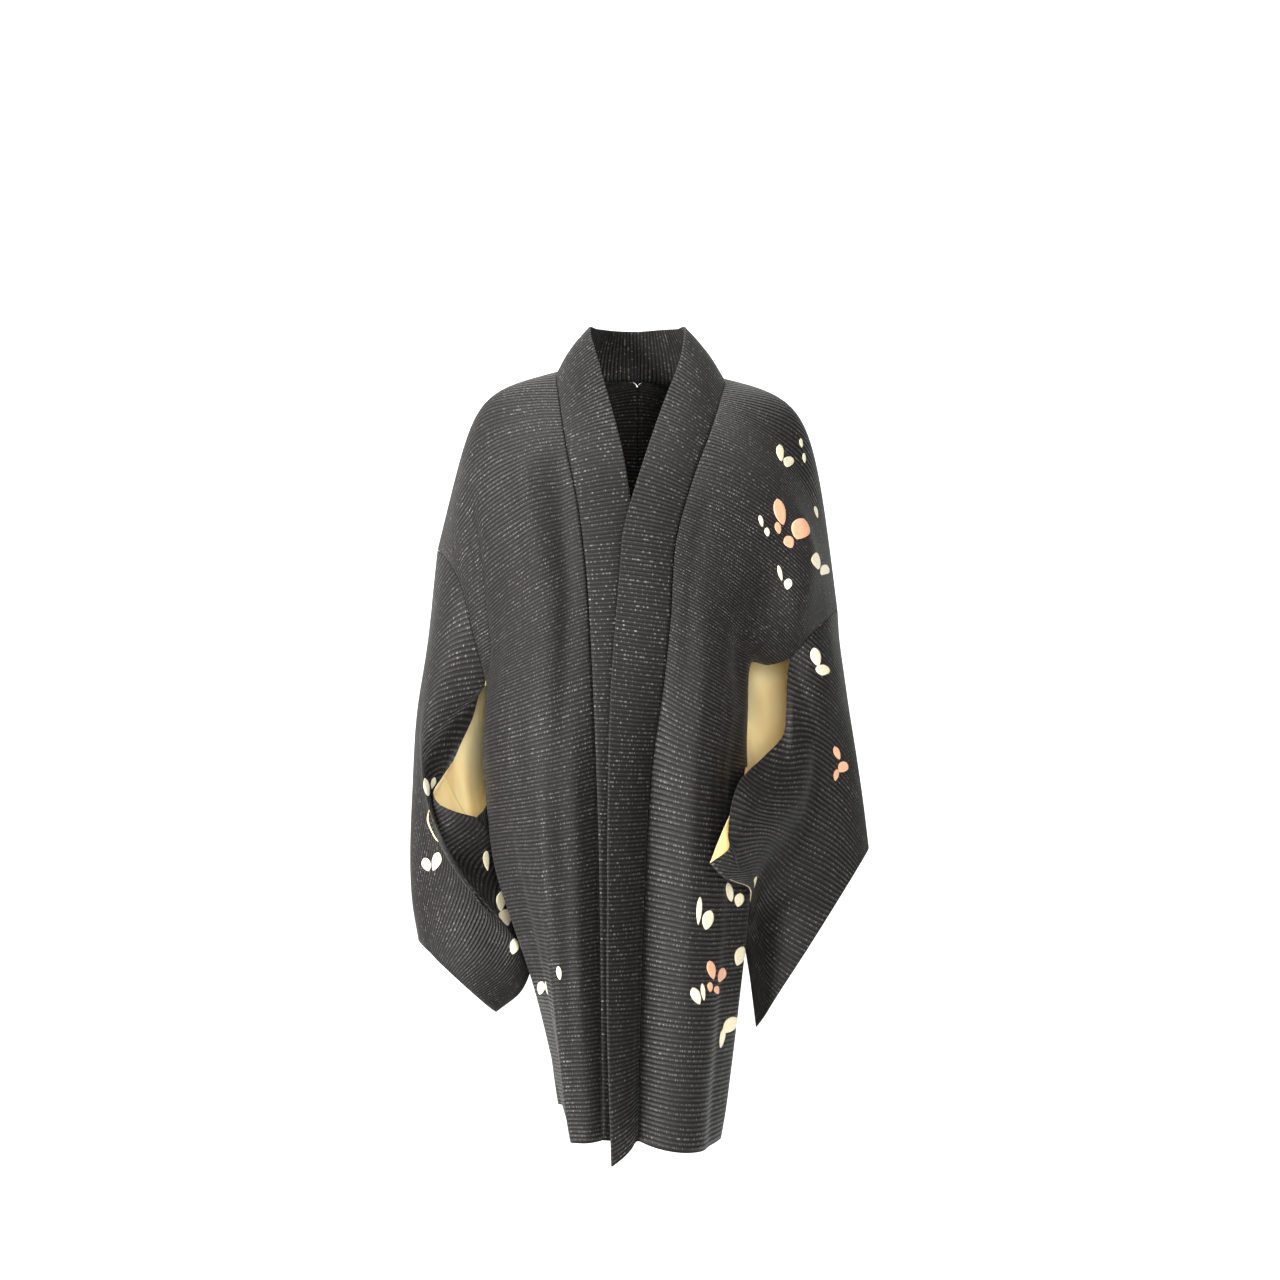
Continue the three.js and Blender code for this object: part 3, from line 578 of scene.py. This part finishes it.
# Place on the flat cloth: distance from the hem eases from the collar's column of the
# table to the side's, and distance across grows evenly.
def lengthCloth(c, t, side):
    rows = lengthCut["threadRows"]
    stations = [row[0] for row in rows]
    inner = throughPoints(stations, [[row[1]] for row in rows], t)[..., 0]
    outer = throughPoints(stations, [[row[2]] for row in rows], t)[..., 0]
    return np.stack([side * c * lengthCut["threadWide"], inner + (outer - inner) * c], -1)


# The body length as one wall, from the front hem over the shoulder to the back hem.
def makeLength(name, shared):
    t = np.linspace(-1, 1, lengthCut["along"] + 1)
    c = np.linspace(0, 1, lengthCut["across"] + 1)
    t, c = np.meshgrid(t, c, indexing="ij")
    points = shared["surface"](c, t)
    normals = shared["normal"](c, t)
    cloth = lengthCloth(c, t, shared["side"])
    thing = clothWall(f"{name}_silk", points, normals, lengthCut["thick"], cloth, silk)
    pieceOfCloth(thing, name)


wedgeCut = {
    "across": 20,
    "along": 100,
    "bowIn": 0.3,
    "long": 385,  # along the threads
    "flat": (0.06, 0.45),
    "area": 0.018,
}


# The wedge joins the front seam to the back seam and bows in by a share of its width.
def makeWedge(name, shared):
    t = np.linspace(lengthCut["sideT"], 1, wedgeCut["along"] + 1)
    c = np.linspace(0, 1, wedgeCut["across"] + 1)
    one = np.ones_like(t)
    front = shared["surface"](one, -t) + shared["outward"](-t) * lengthCut["seamGap"]
    back = shared["surface"](one, t) + shared["outward"](t) * lengthCut["seamGap"]
    wide = np.linalg.norm(front - back, axis=-1)[:, None, None]
    bow = np.sin(np.pi * c)[None, :, None]
    out = np.array([shared["side"], 0, 0])
    share = c[None, :, None]
    flat = front[:, None] * (1 - share) + back[:, None] * share
    points = flat - out * wedgeCut["bowIn"] * wide * bow
    frontNormal, backNormal = shared["normal"](one, -t), shared["normal"](one, t)
    edge = frontNormal[:, None] * (1 - share) + backNormal[:, None] * share
    normals = unit(edge * (1 - bow) + out * bow)
    along = (1 - (t - lengthCut["sideT"]) / (1 - lengthCut["sideT"])) * wedgeCut["long"]
    cloth = np.stack(np.broadcast_arrays(c[None, :] * wide[..., 0], along[:, None]), -1)
    thing = clothWall(f"{name}_silk", points, normals, lengthCut["thick"], cloth, silk)
    pieceOfCloth(thing, name)


right = sideOf(rightLength)
left = sideOf(leftLength)
makeLength("body_right", right)
makeLength("body_left", left)
print("body lengths made")
makeWedge("gusset_right", right)
makeWedge("gusset_left", left)
print("side wedges made")


# u runs from the armhole to the cuff; v is -1 at the bottom of the front layer, 0
# along the top fold and 1 at the bottom of the back layer.
rightSleeve = {
    "linedTo": 0.3,  # u up to which the inside of the front layer is the lining's silk
    "sewn": 0.5,  # share of each layer's depth that is sewn to the armhole
    # u, top fold, bottom fold, how far the front and the back stand off between them
    "rows": [
        (0.0, (-210, 5, -183), (-165, -50, -461), 32, 96),
        (0.1, (-214, 4, -223), (-154, -22, -479), 33, 60),
        (0.26, (-220, 2, -288), (-148, 4, -510), 34, 18),
        (0.42, (-229, 0, -354), (-134, 4, -548), 34, 16),
        (0.6, (-235, -2, -428), (-120, 6, -588), 30, 15),
        (0.77, (-238, -4, -500), (-111, 2, -618), 26, 14),
        (0.89, (-236, -6, -550), (-121, -14, -645), 22, 14),
        (1.0, (-229, -8, -592), (-146, -30, -664), 18, 14),
    ],
    # as for a body length, with u along and v round; the fine ones are in addition
    "folds": [(0.04, 0.95, -0.84, -0.78, 0.1, 6)],
    "fineFolds": [(0.3, 1.1, -0.3, -0.26, 0.05, -1.4)],
    # below the armhole the cloth is drawn towards the arm: u, how far
    "drawn": [
        (0, 0), (0.1, 30), (0.2, 50), (0.3, 58), (0.45, 46), (0.65, 14), (0.85, 2), (1, 0),
    ],
    # depth of the layer, share of that
    "drawnShare": [
        (0, 0), (0.25, 0.33), (0.4, 0.62), (0.5, 0.81), (0.6, 0.79),
        (0.7, 0.81), (0.8, 0.71), (0.9, 0.43), (1, 0),
    ],
    "drawnWay": {"front": (-1, -0.6, 0.15), "back": (-0.35, 0.1, 0.1)},
    "frontMouth": [
        (-163, -44, -335), (-170, -36, -358), (-180, -34, -380), (-190, -37, -401),
        (-202, -44, -420), (-210, -53, -434), (-205, -62, -445), (-192, -66, -452),
        (-178, -60, -457),
    ],
    "backMouth": [
        (-160, 42, -333), (-155.5, 54, -372), (-155.5, 50, -400), (-156, 34, -424),
        (-155, 8, -441), (-158, -24, -453),
    ],
}
leftSleeve = {
    "linedTo": 1.0,
    "sewn": 0.34,
    "rows": [
        (0.0, (211, 5, -247), (72, -142, -500), 26, 66),
        (0.12, (213, 4, -278), (90, -132, -518), 30, 58),
        (0.27, (218, 2, -316), (113, -86, -531), 34, 46),
        (0.42, (223, 0, -352), (116, -30, -553), 34, 28),
        (0.6, (230, -2, -397), (112, -2, -588), 30, 20),
        (0.8, (237, -4, -446), (118, -14, -634), 24, 16),
        (1.0, (243, -5, -496), (123, -34, -679), 18, 12),
    ],
    "folds": [(0.02, 0.5, -0.9, -0.86, 0.09, -5), (0.1, 1.1, -0.56, -0.64, 0.14, 5)],
    "fineFolds": [(0.02, 0.6, -0.42, -0.36, 0.045, -2.4), (0.3, 1.1, -0.78, -0.84, 0.06, -2)],
    "frontMouth": [
        (154, -54, -321), (153, -58, -350), (149, -66, -376), (129, -88, -396), (113, -108, -409),
        (102, -122, -421), (94, -130, -444), (91, -135, -470), (91, -139, -486),
    ],
    "backMouth": [
        (141, 36, -299), (120, 36, -302), (114, 42, -330), (113.5, 38, -352), (112, 18, -376),
        (112, -24, -398), (109, -74, -414), (101, -106, -436), (90, -124, -458), (80, -134, -480),
    ],
}
sleeveCut = {
    "round": 200,
    "along": 96,
    "depth": 300,  # of the flat sleeve from fold to fold, for the threads
    "width": 410,
    "turn": math.radians(23),  # of the threads against the fold
    "armholeGap": 0.9,
    "seamWide": 0.04,  # u over which the wall's slant leaves the armhole seam's
    "rimSteps": 1600,
    "crowd": 1.15,  # power that draws the rows of points towards the armhole
    "thick": 0.7,
    "flat": (0.3, 0.42),  # metres, armhole to cuff and all round
    "area": 0.1,
}


# Each section is a flat loop from top fold to bottom fold: half a cosine down, a sine
# of stand-off at the front and the back. Near the armhole it eases, by (1-u) cubed, to
# the armhole seam and to the free edges of the sleeve's mouth.
def sleeveSurface(cut, shared):
    stations = [row[0] for row in cut["rows"]]
    columns = [[np.atleast_1d(row[k]) for row in cut["rows"]] for k in (1, 2, 3, 4)]
    bottomStart = cut["rows"][0][2]
    armholeT = lengthCut["armholeT"]
    sewn = cut["sewn"]

    def seam(t):
        gap = shared["outward"](t) * sleeveCut["armholeGap"]
        return shared["surface"](np.ones_like(t), t) + gap

    def mouth(listed, t):
        points = np.vstack([seam(np.array([t])), listed, bottomStart])
        return np.linspace(0, 1, len(points)), points

    frontMouth = mouth(cut["frontMouth"], -armholeT)
    backMouth = mouth(cut["backMouth"], armholeT)

    def section(u, v):
        top, bottom, front, back = (throughPoints(stations, column, u) for column in columns)
        angle = np.pi * np.abs(v)
        points = top + (bottom - top) * ((1 - np.cos(angle)) / 2)[..., None]
        stand = np.where(v < 0, -front[..., 0], back[..., 0])
        points[..., 1] += stand * np.sin(angle)
        return points

    def edge(v):
        depth = np.abs(v)
        sewnPart = seam(np.sign(v) * armholeT * np.minimum(depth, sewn) / sewn)
        s = np.clip((depth - sewn) / (1 - sewn), 0, 1)
        free = [throughPoints(*listed, s) for listed in (frontMouth, backMouth)]
        freePart = np.where((v < 0)[..., None], *free)
        return np.where((depth <= sewn)[..., None], sewnPart, freePart)

    # what depends on v alone is worked out once, on a fine row, and read off it
    rim = np.linspace(-1, 1, sleeveCut["rimSteps"] + 1)
    pull = edge(rim) - section(np.zeros_like(rim), rim)
    rimT = rim / sewn * armholeT
    rimNormal = shared["normal"](np.ones_like(rim), np.clip(rimT, -armholeT, armholeT))

    def readOff(table, v):
        return np.stack([np.interp(v, rim, table[:, k]) for k in range(3)], -1)

    def plain(u, v):
        ease = ((1 - u) ** 3)[..., None]
        points = section(u, v) + readOff(pull, v) * ease
        if "drawn" not in cut:
            return points
        far = throughPoints(*zip(*cut["drawn"]), u)
        share = throughPoints(*zip(*cut["drawnShare"]), np.abs(v))
        way = np.where((v < 0)[..., None], cut["drawnWay"]["front"], cut["drawnWay"]["back"])
        return points + way * (far * share)

    folds = cut["folds"] + cut["fineFolds"]

    def surface(u, v):
        u, v = np.broadcast_arrays(np.asarray(u, float), np.asarray(v, float))
        v = np.where(v > 1, v - 2, np.where(v < -1, v + 2, v))
        rise = foldRise(folds, v, u)[..., None]
        return plain(u, v) + surfaceNormal(plain, u, v, shared["side"], (0, 1, -1, 1)) * rise

    def normal(u, v):
        u, v = np.broadcast_arrays(np.asarray(u, float), np.asarray(v, float))
        step = 0.01
        along = surface(np.minimum(u + step, 1), v) - surface(np.maximum(u - step, 0), v)
        around = surface(u, v + step) - surface(u, v - step)
        smoothNormal = unit(np.cross(along, around)) * shared["side"]
        near = np.clip(1 - u / sleeveCut["seamWide"], 0, 1)
        near = np.where(np.abs(v) <= sewn, near, 0)[..., None]
        return unit(smoothNormal * (1 - near) + readOff(rimNormal, v) * near)

    return surface, normal


# Place on the flat cloth, turned a little against the top fold.
def sleeveCloth(u, v, side):
    down, out = -v * sleeveCut["depth"], u * sleeveCut["width"]
    turn = sleeveCut["turn"]
    across = out * math.cos(turn) - down * math.sin(turn)
    along = down * math.cos(turn) + out * math.sin(turn)
    return np.stack([side * across, along], -1)


# The sleeve as one wall, a ring from the armhole to the cuff.
def makeSleeve(name, cut, shared):
    surface, normal = sleeveSurface(cut, shared)
    u = np.linspace(0, 1, sleeveCut["along"] + 1) ** sleeveCut["crowd"]
    v = -np.linspace(0, 2, sleeveCut["round"], endpoint=False)
    u, v = np.meshgrid(u, np.where(v < -1, v + 2, v), indexing="ij")
    cloth = sleeveCloth(u, v, shared["side"])
    points, normals = surface(u, v), normal(u, v)
    thing = clothWall(f"{name}_silk", points, normals, sleeveCut["thick"], cloth, silk, ring=True)
    # the inside of the wall is the lining's silk, where no lining of its own is made
    thing.data.materials.append(lining)
    outer = sleeveCut["along"] * sleeveCut["round"]
    kinds = np.zeros(len(thing.data.polygons), np.int32)
    kinds[outer : 2 * outer] = ((v[1:] > 0) | (u[1:] < cut["linedTo"])).ravel()
    thing.data.polygons.foreach_set("material_index", kinds)
    pieceOfCloth(thing, name)
    return surface, normal


liningCut = {
    "thick": 0.5,
    "gap": 0.3,
    "start": 0.006,  # u
    "end": 0.42,
    "front": -0.38,  # v
    "back": 0.74,
    "along": 60,
    "round": 120,
    "crowd": 1.2,
    "flat": (0.2, 0.3),
    "area": 0.032,
}


# The lining follows the sleeve, moved in past the cloth.
def makeSleeveLining(name, surface, normal):
    share = np.linspace(0, 1, liningCut["along"] + 1) ** liningCut["crowd"]
    u = liningCut["start"] + (liningCut["end"] - liningCut["start"]) * share
    v = np.linspace(liningCut["front"], liningCut["back"], liningCut["round"] + 1)
    u, v = np.meshgrid(u, v, indexing="ij")
    outward = normal(u, v)
    points = surface(u, v) - outward * (sleeveCut["thick"] + liningCut["gap"])
    cloth = sleeveCloth(u, v, 1)
    thing = clothWall(f"{name}_silk", points, outward, liningCut["thick"], cloth, lining)
    pieceOfCloth(thing, name)


rightShape = makeSleeve("sleeve_right", rightSleeve, right)
leftShape = makeSleeve("sleeve_left", leftSleeve, left)
makeSleeveLining("sleeve_lining_right", *rightShape)
makeSleeveLining("sleeve_lining_left", *leftShape)
print("sleeves and linings made")


collarCut = {
    "thick": 2.6,
    "crown": 3.0,
    "across": 16,
    "edge": 8,
    "along": 420,
    "gap": 0.8,
    "round": 116,  # both faces together, for the threads
    "flat": (0.065, 1.8),
    "area": 0.107,
}


# A flat loop carried along the neck seam: the outer face from seam to free edge with a
# sine of crown, half a circle round the free edge, and the inner face back to the seam.
def makeCollar():
    across = np.linspace(0, 1, collarCut["across"] + 1)
    lift = (collarCut["thick"] - lengthCut["thick"]) / 2
    sections = []
    for shared in (right, left):
        t = np.linspace(-1, lengthCut["neckT"], collarCut["along"] // 2 + 1)
        seam = shared["surface"](np.zeros_like(t), t) + shared["acrossSeam"](t) * collarCut["gap"]
        edge = shared["free"](t)
        seamNormal = shared["innerNormal"](t)[:, None]
        flat = shared["bandNormal"](t)[:, None]
        bend = easeBetween(across * 3, 0, 1)[None, :, None]
        normals = unit(seamNormal * (1 - bend) + flat * bend)
        share = across[None, :, None]
        rise = (lift + collarCut["crown"] * np.sin(np.pi * across))[None, :, None]
        outer = seam[:, None] * (1 - share) + edge[:, None] * share + normals * rise
        inner = outer - normals * collarCut["thick"]
        angle = np.linspace(0, np.pi, collarCut["edge"] + 1)[1:-1][None, :, None]
        middle = (outer[:, -1] + inner[:, -1])[:, None] / 2
        reach = unit(outer[:, -1] - outer[:, -2])[:, None]
        radius = collarCut["thick"] / 2
        rounded = middle + flat * np.cos(angle) * radius + reach * np.sin(angle) * radius
        sections.append(np.concatenate([outer, rounded, inner[:, ::-1]], 1))
    loops = np.concatenate([sections[0], sections[1][-2::-1]])
    rows, columns = loops.shape[:2]
    i, j = np.meshgrid(np.arange(rows - 1), np.arange(columns), indexing="ij")
    k = (j + 1) % columns
    this, after = i * columns, (i + 1) * columns
    faces = np.stack([this + j, this + k, after + k, after + j], -1).reshape(-1, 4)
    # both ends close with strips between the outer and the inner face
    pair = np.arange(columns // 2)
    opposite = np.maximum(columns - 2 - pair, pair + 1)
    caps = np.stack([pair, columns - 1 - pair, opposite, pair + 1], -1)[: columns // 2 - 1]
    faces = np.concatenate([faces, caps[:, ::-1], caps + (rows - 1) * columns])
    middleLine = loops[:, collarCut["across"] // 2]
    steps = np.linalg.norm(np.diff(middleLine, axis=0), axis=-1)
    along = np.concatenate([[0], np.cumsum(steps)])
    around = np.linspace(0, 1, columns)[None, :] * collarCut["round"]
    cloth = np.stack(np.broadcast_arrays(around, along[:, None]), -1).reshape(-1, 2)
    thing = meshFrom("collar_silk", loops.reshape(-1, 3) * mm, faces, cloth * mm, silk)
    pieceOfCloth(thing, "collar")


makeCollar()
print("collar made")


camera = {"lens": 69.64, "sensor": 36, "place": (0.003, -2.6, -0.278), "frame": 1280}
cameraData = bpy.data.cameras.new("camera")
cameraData.lens = camera["lens"]
cameraData.sensor_width = camera["sensor"]
cameraThing = bpy.data.objects.new("camera", cameraData)
cameraThing.location = camera["place"]
cameraThing.rotation_euler = (math.pi / 2, 0, 0)
bpy.context.scene.collection.objects.link(cameraThing)
bpy.context.scene.camera = cameraThing

# x and y where a wing's centre is seen in the frame, its width and height there, and
# how far its long way leans, in degrees clockwise.
wings = {
    "body_left": {
        "cream": [
            (761, 521, 4, 12, -14), (767, 532, 5, 9, -10),
            (780, 573, 4, 16, -14), (788, 584, 8, 11, 10),
            (729, 892, 8, 20, -14), (739, 900, 9, 14, 12),
            (699, 911, 5, 28, 4), (708, 920, 11, 20, 14),
            (740, 956, 11, 20, 18), (696, 996, 9, 18, -22), (703, 992, 4, 17, -6),
            (730, 1025, 12, 20, 40), (722, 1038, 5, 20, 10),
            (780, 453, 7, 17, -8), (788, 462, 10, 11, 20),
            (817, 561, 8, 17, -8), (824, 570, 9, 11, 25),
            (801, 443, 3, 9, -10), (804, 458, 3, 10, -6), (816, 512, 3, 12, -14),
        ],
        "salmon": [
            (780, 512, 11, 27, -14), (801, 529, 20, 22, 20),
            (778, 528, 6, 12, -12), (789, 542, 10, 13, -25),
            (711.5, 970, 8, 19, -12), (721, 975, 11, 16, 30),
            (710, 987, 5, 10, 0), (717, 990, 7, 9, -25),
        ],
    },
    "body_right": {
        "cream": [
            (541, 988, 9, 14, 15), (548, 988, 5, 14, -10), (559, 973, 5, 14, -8),
        ],
        "salmon": [],
    },
    "sleeve_left": {
        "cream": [
            (816, 657, 10, 19, -14), (823, 670, 14, 11, 10),
        ],
        "salmon": [(837, 753, 6, 14, -20), (843, 767, 10, 12, 35), (836, 775, 5, 12, 10)],
    },
    "sleeve_right": {
        "cream": [
            (426, 787, 8, 18, -10), (433, 783, 5, 12, 15),
            (426.6, 864.5, 9, 14, -18), (436.5, 861, 9, 19, 16), (486, 860, 6, 20, -4),
            (501, 901, 10, 22, 12), (505, 918, 13, 17, -10), (515, 946, 9, 16, 8),
        ],
        "salmon": [],
    },
}
wingCut = {
    "over": 0.55,
    "thick": 0.5,
    "across": 8,
    "along": 14,
    "belly": 0.7,
    "taper": 0.22,
    "steepest": 0.12,  # least slope, against the greater one, where a surface turns edge on
    "cloth": 300,  # for the threads
}


# Where a point is seen in the frame: its sideways distances over its depth, times the lens.
def seenAt(points):
    x0, y0, z0 = (1000 * value for value in camera["place"])
    scale = camera["lens"] / camera["sensor"] * camera["frame"] / (points[..., 1] - y0)
    x = camera["frame"] / 2 + (points[..., 0] - x0) * scale
    y = camera["frame"] / 2 - (points[..., 2] - z0) * scale
    return np.stack([x, y], -1)


# The place on a surface that is seen at a point of the frame: the nearest of a fine
# grid's points that face the camera, then steps by the slope of the seen place.
def placeSeen(surface, grid, target):
    miss = np.linalg.norm(grid["seen"] - target, axis=-1) + grid["hidden"]
    best = np.unravel_index(np.argmin(miss), miss.shape)
    at = np.array([grid["p"][best], grid["q"][best]])
    step = 0.002
    for _ in range(4):
        here = seenAt(surface(at[0], at[1]))
        alongP = (seenAt(surface(at[0] + step, at[1])) - here) / step
        alongQ = (seenAt(surface(at[0], at[1] + step)) - here) / step
        slope = np.stack([alongP, alongQ], -1)
        move = np.linalg.lstsq(slope, target - here, rcond=0.05)[0]
        at = at + np.clip(move, -0.01, 0.01)
    return at, slope


# A wing is a lens: as wide as (1 - s squared) to a power along its length s. Its
# outline in the frame is carried to the surface by the inverse slope at its centre.
def wingGrid(surface, normal, at, slope, wide, high, lean):
    w = np.linspace(-1, 1, wingCut["across"] + 1)
    s = np.linspace(-1, 1, wingCut["along"] + 1)
    w, s = np.meshgrid(w, s)
    half = np.maximum((1 - s**2), 0.004) ** wingCut["belly"] * (1 - wingCut["taper"] * s)
    x, y = w * half * wide / 2, s * high / 2
    turn = math.radians(lean)
    frameX = x * math.cos(turn) - y * math.sin(turn)
    frameY = x * math.sin(turn) + y * math.cos(turn)
    u, sv, vt = np.linalg.svd(slope)
    sv = np.maximum(sv, sv[0] * wingCut["steepest"])
    back = vt.T @ np.diag(1 / sv) @ u.T
    p = at[0] + back[0, 0] * frameX + back[0, 1] * frameY
    q = at[1] + back[1, 0] * frameX + back[1, 1] * frameY
    out = normal(p, q)
    return surface(p, q) + out * wingCut["over"], out, np.stack([p, q], -1) * wingCut["cloth"]


# The grids of every wing, by colour. Points that face away from the camera count as far
# off, by the sign of their normal against the way to the camera.
def wingShapes():
    panels = {
        "body_left": (left["surface"], left["normal"], (0, 1, -1, 0.0)),
        "body_right": (right["surface"], right["normal"], (0, 1, -1, 0.0)),
        "sleeve_left": (*leftShape, (0, 1, -1, 0.1)),
        "sleeve_right": (*rightShape, (0, 1, -1, 0.1)),
    }
    found = {"cream": [], "salmon": []}
    for panel, (surface, normal, box) in panels.items():
        p0, p1, q0, q1 = box
        p, q = np.meshgrid(np.linspace(p0, p1, 81), np.linspace(q0, q1, 161), indexing="ij")
        points = surface(p, q)
        toEye = np.asarray(camera["place"]) * 1000 - points
        hidden = np.where((normal(p, q) * toEye).sum(-1) > 0, 0, 1000)
        grid = {"p": p, "q": q, "seen": seenAt(points), "hidden": hidden}
        for colour, listed in wings[panel].items():
            for x, y, wide, high, lean in listed:
                at, slope = placeSeen(surface, grid, np.array([x, y], float))
                found[colour].append(wingGrid(surface, normal, at, slope, wide, high, lean))
    return found


# One piece of all the wings of a colour.
def makeButterflies(colour, shapes, material):
    patches = []
    for number, (points, out, cloth) in enumerate(shapes):
        patch = clothWall(f"wing_{colour}_{number}", points, out, wingCut["thick"], cloth, material)
        patches.append(patch)
    bpy.ops.object.select_all(action="DESELECT")
    for patch in patches:
        patch.select_set(True)
    bpy.context.view_layer.objects.active = patches[0]
    bpy.ops.object.join()
    patches[0].name = f"butterflies_{colour}"
    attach(patches[0], "root")


shapes = wingShapes()
makeButterflies("cream", shapes["cream"], cream)
makeButterflies("salmon", shapes["salmon"], salmon)
print("butterflies made")

floorThing = {
    "height": -1.0,
    "wide": 6.0,
    "front": -6.0,
    "back": 2.2,
    "bend": 1.0,
    "high": 4.0,
    "colour": (0.86, 0.86, 0.85, 1),
    "roughness": 0.9,
}


# Floor, a quarter circle and a wall behind, as one sheet.
def makeFloor():
    f = floorThing
    angle = np.linspace(0, np.pi / 2, 24)
    bend = f["back"] + f["bend"] * np.sin(angle)
    y = np.concatenate([[f["front"]], bend, [f["back"] + f["bend"]]])
    z = np.concatenate([[0.0], f["bend"] * (1 - np.cos(angle)), [f["high"]]]) + f["height"]
    x = np.array([-f["wide"], f["wide"]])
    points = np.stack(np.broadcast_arrays(x[None, :], y[:, None], z[:, None]), -1).reshape(-1, 3)
    i = np.arange(len(y) - 1) * 2
    faces = np.stack([i, i + 1, i + 3, i + 2], -1)
    material, nodes, links, shader = newMaterial("floor")
    shader.inputs["Base Color"].default_value = f["colour"]
    shader.inputs["Roughness"].default_value = f["roughness"]
    thing = meshFrom("floor", points, faces, points[:, :2], material)


makeFloor()

lamps = {
    # name: place, aimed at, size, watts
    "key": ((-2.2, -2.0, 0.6), (0, 0, -0.4), 0.9, 230),
    "fill": ((0.5, -3.0, 0.0), (0, 0, -0.4), 1.4, 75),
    "top": ((0.2, -0.2, 2.2), (0, 0, -0.3), 1.4, 14),
    "backdrop": ((0.0, 0.9, 1.9), (0, 3.2, -0.2), 2.0, 100),
}
for name, (place, aim, size, watts) in lamps.items():
    data = bpy.data.lights.new(name, "AREA")
    data.shape = "DISK"
    data.size = size
    data.energy = watts
    thing = bpy.data.objects.new(name, data)
    thing.location = place
    toward = np.asarray(aim, float) - np.asarray(place, float)
    pan = math.atan2(toward[0], toward[1])
    tilt = math.atan2(toward[2], math.hypot(toward[0], toward[1]))
    thing.rotation_euler = (math.pi / 2 + tilt, 0, -pan)
    bpy.context.scene.collection.objects.link(thing)

surroundings = {"light": 0.14, "seen": 0.94}
world = bpy.data.worlds.new("studio")
bpy.context.scene.world = world
world.use_nodes = True
# dim where it lights the cloth, bright where it is seen
nodes, links = world.node_tree.nodes, world.node_tree.links
nodes["Background"].inputs[0].default_value = (1.0, 1.0, 1.0, 1)
rays = nodes.new("ShaderNodeLightPath")
low = surroundings["light"]
extra = surroundings["seen"] - low
glow = mathNode(nodes, links, "MULTIPLY_ADD", rays.outputs["Is Camera Ray"], extra, low)
links.new(glow, nodes["Background"].inputs[1])
bpy.context.scene.view_settings.view_transform = "Standard"
print("stage made")
